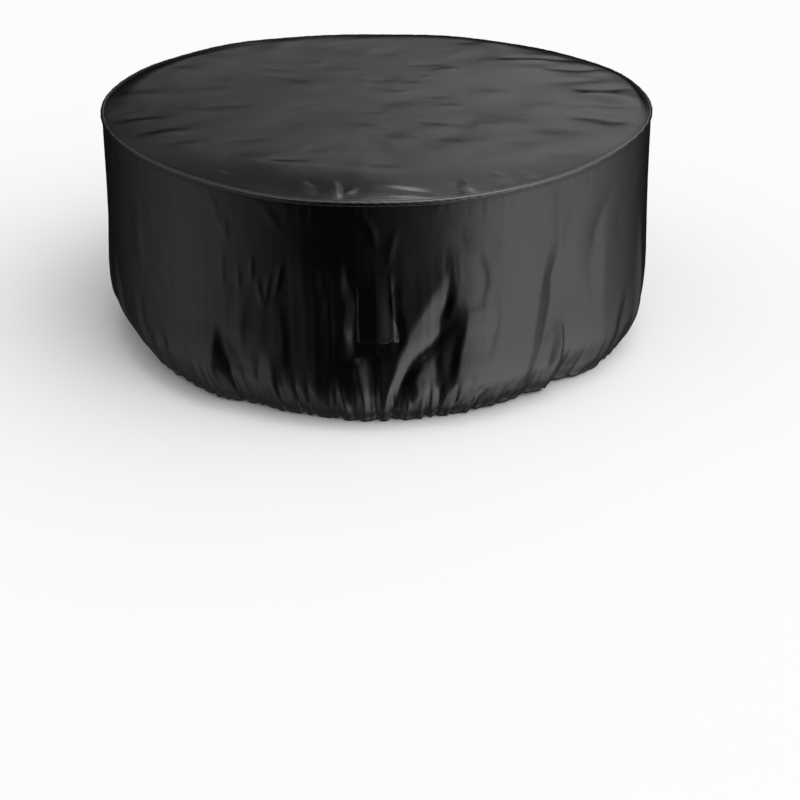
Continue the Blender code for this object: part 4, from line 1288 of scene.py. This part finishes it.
class CoverColours(bpy.types.PropertyGroup):
    """Colours and gloss of the cloth."""

    cloth: FloatVectorProperty(
        name="Cloth",
        description="Coated cloth of the panels",
        size=4,
        default=(0.0003, 0.0003, 0.0003, 1.0),
        subtype="COLOR",
    )
    piping: FloatVectorProperty(
        name="Piping",
        description="Coated cloth round the rim's cord",
        size=4,
        default=(0.0005, 0.0005, 0.0005, 1.0),
        subtype="COLOR",
    )
    # Paler colour of rubbed crests, which also paints the highlights on crests, on the piping's upper side
    # and on the flap's hem.
    rubbed_and_sheen_colour: FloatVectorProperty(
        name="Rubbed cloth",
        description="Coated cloth where its crests are rubbed",
        size=4,
        default=(0.006, 0.006, 0.0061, 1.0),
        subtype="COLOR",
    )
    thread: FloatVectorProperty(
        name="Thread",
        description="Sewing thread",
        size=4,
        default=(0.001, 0.001, 0.001, 1.0),
        subtype="COLOR",
    )
    roughness: FloatProperty(
        name="Roughness",
        description="Roughness of the coating",
        default=0.19,
        subtype="FACTOR",
    )
    weave_pitch: FloatProperty(
        name="Weave pitch",
        description="Distance between the yarns",
        default=0.0006,
        unit="LENGTH",
    )


class StudioSettings(bpy.types.PropertyGroup):
    """Light and floor."""

    floor: FloatVectorProperty(
        name="Floor",
        description="Colour of the floor",
        size=4,
        default=(0.56, 0.56, 0.56, 1.0),
        subtype="COLOR",
    )
    brightness: FloatProperty(name="Brightness", description="Brightness of the whole studio", default=1.0)


class COVER_OT_skirt(bpy.types.Operator):
    """Adds the gathered skirt"""

    bl_idname = "cover.skirt"
    bl_label = "Skirt"

    def execute(self, context):
        azimuth = fine_azimuths(SKIRT_COLUMNS)[None, :]
        knots = [knot.row for knot in SKIRT_ROW_KNOTS]
        shares = np.linspace(0.0, 1.0, SKIRT_ROWS)
        drop = np.interp(shares, knots, [knot.drop for knot in SKIRT_ROW_KNOTS])[:, None]
        radius, z = skirt_point(azimuth, drop)
        points = on_circle(azimuth, radius, z)
        hem = [on_circle(azimuth, radius[-1:] - inward, z[-1:] + lift) for inward, lift in HEM_TURNS]
        points = np.vstack([points, *hem])
        # Crests are made paler, partly as rubbed cloth and partly as a painted highlight; the hem's last
        # rows are paler too.
        wear = crest_wear_and_sheen(points)
        hem_rows = slice(-len(HEM_TURNS) - HEM_WEAR_ROWS, None)
        wear[hem_rows] = np.maximum(wear[hem_rows], HEM_WEAR)
        size = (2 * np.pi * RIM_RADIUS, COVER_DROP)
        mesh = grid_mesh("skirt_cloth", points, round_rows=True, size=size, wear=wear)
        colours = context.scene.cover_colours
        finish = coated_cloth("coated cloth skirt", colours.cloth, colours)
        thickness = context.scene.cover_sizes.cloth_thickness
        piece = add_piece(mesh, finish, ["skirt"], thickness)
        return {"FINISHED"}


class COVER_OT_top(bpy.types.Operator):
    """Adds the top panel"""

    bl_idname = "cover.top"
    bl_label = "Top panel"

    def execute(self, context):
        azimuth = fine_azimuths(PANEL_COLUMNS)[None, :]
        share = 1 - (1 - np.arange(1, PANEL_RINGS + 1) / PANEL_RINGS) ** RING_POWER
        points = panel_surface(azimuth, share[:, None])
        mesh = grid_mesh(
            "top_cloth",
            points,
            round_rows=True,
            middle=points[0].mean(axis=0),
            size=(2 * np.pi * RIM_RADIUS, RIM_RADIUS),
            # Crests are made paler, partly as rubbed cloth and partly as a painted highlight.
            wear=panel_wear_and_sheen(points),
        )
        colours = context.scene.cover_colours
        finish = coated_cloth("coated cloth top", colours.cloth, colours)
        thickness = context.scene.cover_sizes.cloth_thickness
        piece = add_piece(mesh, finish, ["top_panel"], thickness)
        return {"FINISHED"}


class COVER_OT_piping(bpy.types.Operator):
    """Adds the piped rim seam"""

    bl_idname = "cover.piping"
    bl_label = "Rim piping"

    def execute(self, context):
        azimuth = fine_azimuths(PIPING_COLUMNS)[None, :]
        turn = -np.arange(PIPING_SIDES)[:, None] * 2 * np.pi / PIPING_SIDES
        radius = cord_radius(azimuth)
        for wrinkle in PIPING_WRINKLES:
            phase = np.radians(azimuth) * wrinkle.times + wrinkle.turns * turn + wrinkle.phase
            radius = radius + wrinkle.size * np.sin(phase)
        outward = RIM_RADIUS - CORD_RADIUS + radius * np.cos(turn)
        points = on_circle(azimuth, outward, rim_height(azimuth) + radius * np.sin(turn))
        # Painted highlight: the piping's upper outer side is made paler all round, where the light from
        # above falls.
        wear = np.clip(np.cos(turn - PIPING_SHEEN_TURN), 0.0, 1.0) ** PIPING_SHEEN_POWER
        wear = np.broadcast_to(wear, points.shape[:2])
        size = (2 * np.pi * RIM_RADIUS, 2 * np.pi * CORD_RADIUS)
        mesh = grid_mesh("rim_piping", points, round_rows=True, round_columns=True, size=size, wear=wear)
        colours = context.scene.cover_colours
        finish = coated_cloth("coated cloth piping", colours.piping, colours)
        nodes = Nodes(finish)
        surface = nodes.surface()
        surface.inputs["Specular IOR Level"].default_value = PIPING_SPECULAR
        surface.inputs["Coat Roughness"].default_value = colours.roughness
        _, y, _ = nodes.split(nodes.add("ShaderNodeTexCoord", {}, {}, output="Object"))
        nodes.put(surface.inputs["Coat Weight"], nodes.between(y * -1.0, *PIPING_COAT))
        add_piece(mesh, finish, ["rim_welt"])
        return {"FINISHED"}


class COVER_OT_flap(bpy.types.Operator):
    """Adds the vent flap"""

    bl_idname = "cover.flap"
    bl_label = "Vent flap"

    def execute(self, context):
        azimuth = np.linspace(FLAP_LEFT, FLAP_RIGHT, FLAP_COLUMNS)[None, :]
        drop = np.linspace(FLAP_TOP, FLAP_HEM, FLAP_ROWS)[:, None]
        points = flap_surface(azimuth, drop)
        wear = crest_wear_and_sheen(points)
        # Painted highlight: the flap's free hem is made paler where its edge catches the light.
        wear[-FLAP_SHEEN_ROWS:] = FLAP_HEM_SHEEN
        mesh = grid_mesh("vent_flap", points, size=FLAP_SIZE, wear=wear)
        colours = context.scene.cover_colours
        finish = coated_cloth("coated cloth flap", colours.cloth, colours)
        piece = add_piece(mesh, finish, ["front_flap"])
        return {"FINISHED"}


class COVER_OT_stitches(bpy.types.Operator):
    """Adds the rows of stitches along the rim seam, the hem and the flap"""

    bl_idname = "cover.stitches"
    bl_label = "Stitches"

    def execute(self, context):
        pitch = context.scene.cover_sizes.stitch_pitch
        step = np.degrees(pitch / RIM_RADIUS)
        thread = sewing_thread("black thread", context.scene.cover_colours.thread)
        around = np.arange(0.0, 360.0, step)
        rim = stitch_mesh(
            "rim_stitches",
            [(skirt_surface, around, RIM_STITCH_DROP, 0), (panel_surface, around, PANEL_STITCH_SHARE, 0)],
        )
        hem = stitch_mesh("hem_stitches", [(skirt_surface, around, HEM_STITCH_DROP, 0)])
        across = np.arange(FLAP_LEFT + FLAP_ROW_GAPS[0], FLAP_RIGHT - FLAP_ROW_GAPS[1], step)
        down = np.arange(FLAP_TOP + FLAP_SIDE_GAPS[0], FLAP_HEM - FLAP_SIDE_GAPS[1], pitch / COVER_DROP)
        band = (FLAP_HEM - FLAP_TOP) * FLAP_HEM_BAND
        drops = [FLAP_TOP + row for row in FLAP_TOP_ROWS] + [FLAP_HEM - band - FLAP_HEM_ROW]
        rows = [(flap_surface, across, drop, 0) for drop in drops]
        sides = (FLAP_LEFT + FLAP_SIDE_ROW, FLAP_RIGHT - FLAP_SIDE_ROW)
        rows += [(flap_surface, side, down, 1) for side in sides]
        flap = stitch_mesh("flap_stitches", rows)
        for mesh in (rim, hem, flap):
            add_piece(mesh, thread)
        return {"FINISHED"}


class COVER_OT_stage(bpy.types.Operator):
    """Adds the floor, the studio's light and the camera"""

    bl_idname = "cover.stage"
    bl_label = "Studio"

    def execute(self, context):
        studio = context.scene.studio
        turns = np.arange(FLOOR_SIDES) * 360.0 / FLOOR_SIDES
        disc = on_circle(turns, FLOOR_RADIUS, CAD_BOX[0][2] - FLOOR_GAP)
        mesh = bpy.data.meshes.new("floor")
        mesh.from_pydata(disc.tolist(), [], [list(range(FLOOR_SIDES))])
        paper = bpy.data.materials.new("pale floor")
        surface = Nodes(paper).surface()
        surface.inputs["Base Color"].default_value = studio.floor
        surface.inputs["Roughness"].default_value = FLOOR_ROUGHNESS
        mesh.materials.append(paper)
        floor = add_object("floor", mesh)
        floor.visible_glossy = False
        floor.visible_shadow = False
        floor.visible_diffuse = False
        air = bpy.data.worlds.new("studio air")
        nodes = Nodes(air)
        direction = nodes.add("ShaderNodeTexCoord", {}, {}, output="Generated")
        x, y, z = nodes.split(direction)
        azimuth = nodes.math("ARCTAN2", x, y * -1.0) * (180.0 / np.pi)
        height = nodes.math("ARCSINE", z) * (180.0 / np.pi)
        low = nodes.ramp(azimuth, LOW_LIGHT, -180.0, 180.0)
        high = nodes.ramp(azimuth, HIGH_LIGHT, -180.0, 180.0)
        screened = nodes.ramp(azimuth, SCREENS, -180.0, 180.0)
        low = low * nodes.ramp(height, FALL_OF_LIGHT, -90.0, 0.0)
        low = low + nodes.ramp(height, FLOOR_LIGHT, -90.0, 0.0)
        screened = screened * nodes.ramp(height, SCREEN_HEIGHTS, 0.0, 90.0)
        high = high * nodes.ramp(height, RISE_OF_LIGHT, 0.0, 90.0) * (1.0 - screened)
        high = high + nodes.ramp(height, OVERHEAD_LIGHT, 0.0, 90.0)
        above = nodes.between(height, -HORIZON_BLEND, HORIZON_BLEND)
        light = low + (high - low) * above
        background = nodes.tree.nodes["Background"]
        background.inputs["Color"].default_value = (1.0, 1.0, 1.0, 1.0)
        nodes.put(background.inputs["Strength"], light * studio.brightness)
        context.scene.world = air
        camera = bpy.data.cameras.new("camera")
        camera.lens = CAMERA_LENS
        camera.sensor_width = CAMERA_SENSOR
        eye = add_object("camera", camera)
        eye.location = CAMERA_PLACE
        eye.rotation_euler = (np.radians(90 - CAMERA_TILT), 0, 0)
        context.scene.camera = eye
        context.scene.view_settings.view_transform = "Standard"
        return {"FINISHED"}


PIECES = (COVER_OT_top, COVER_OT_piping, COVER_OT_skirt, COVER_OT_flap, COVER_OT_stitches, COVER_OT_stage)


class COVER_PT_panel(bpy.types.Panel):
    """Lists the cover's pieces and settings"""

    bl_label = "Furniture cover"
    bl_idname = "COVER_PT_panel"
    bl_space_type = "VIEW_3D"
    bl_region_type = "UI"
    bl_category = "Cover"

    def draw(self, context):
        for piece in PIECES:
            self.layout.operator(piece.bl_idname)
        for group in (context.scene.cover_sizes, context.scene.cover_colours, context.scene.studio):
            for name in group.__annotations__:
                self.layout.prop(group, name)


CLASSES = (CoverSizes, CoverColours, StudioSettings, *PIECES, COVER_PT_panel)


def register():
    for item in CLASSES:
        bpy.utils.register_class(item)
    bpy.types.Scene.cover_sizes = PointerProperty(type=CoverSizes)
    bpy.types.Scene.cover_colours = PointerProperty(type=CoverColours)
    bpy.types.Scene.studio = PointerProperty(type=StudioSettings)


def unregister():
    del bpy.types.Scene.cover_sizes
    del bpy.types.Scene.cover_colours
    del bpy.types.Scene.studio
    for item in reversed(CLASSES):
        bpy.utils.unregister_class(item)


def main():
    register()
    bpy.ops.cover.top()
    bpy.ops.cover.piping()
    bpy.ops.cover.skirt()
    bpy.ops.cover.flap()
    bpy.ops.cover.stitches()
    bpy.ops.cover.stage()


if __name__ == "__main__":
    main()
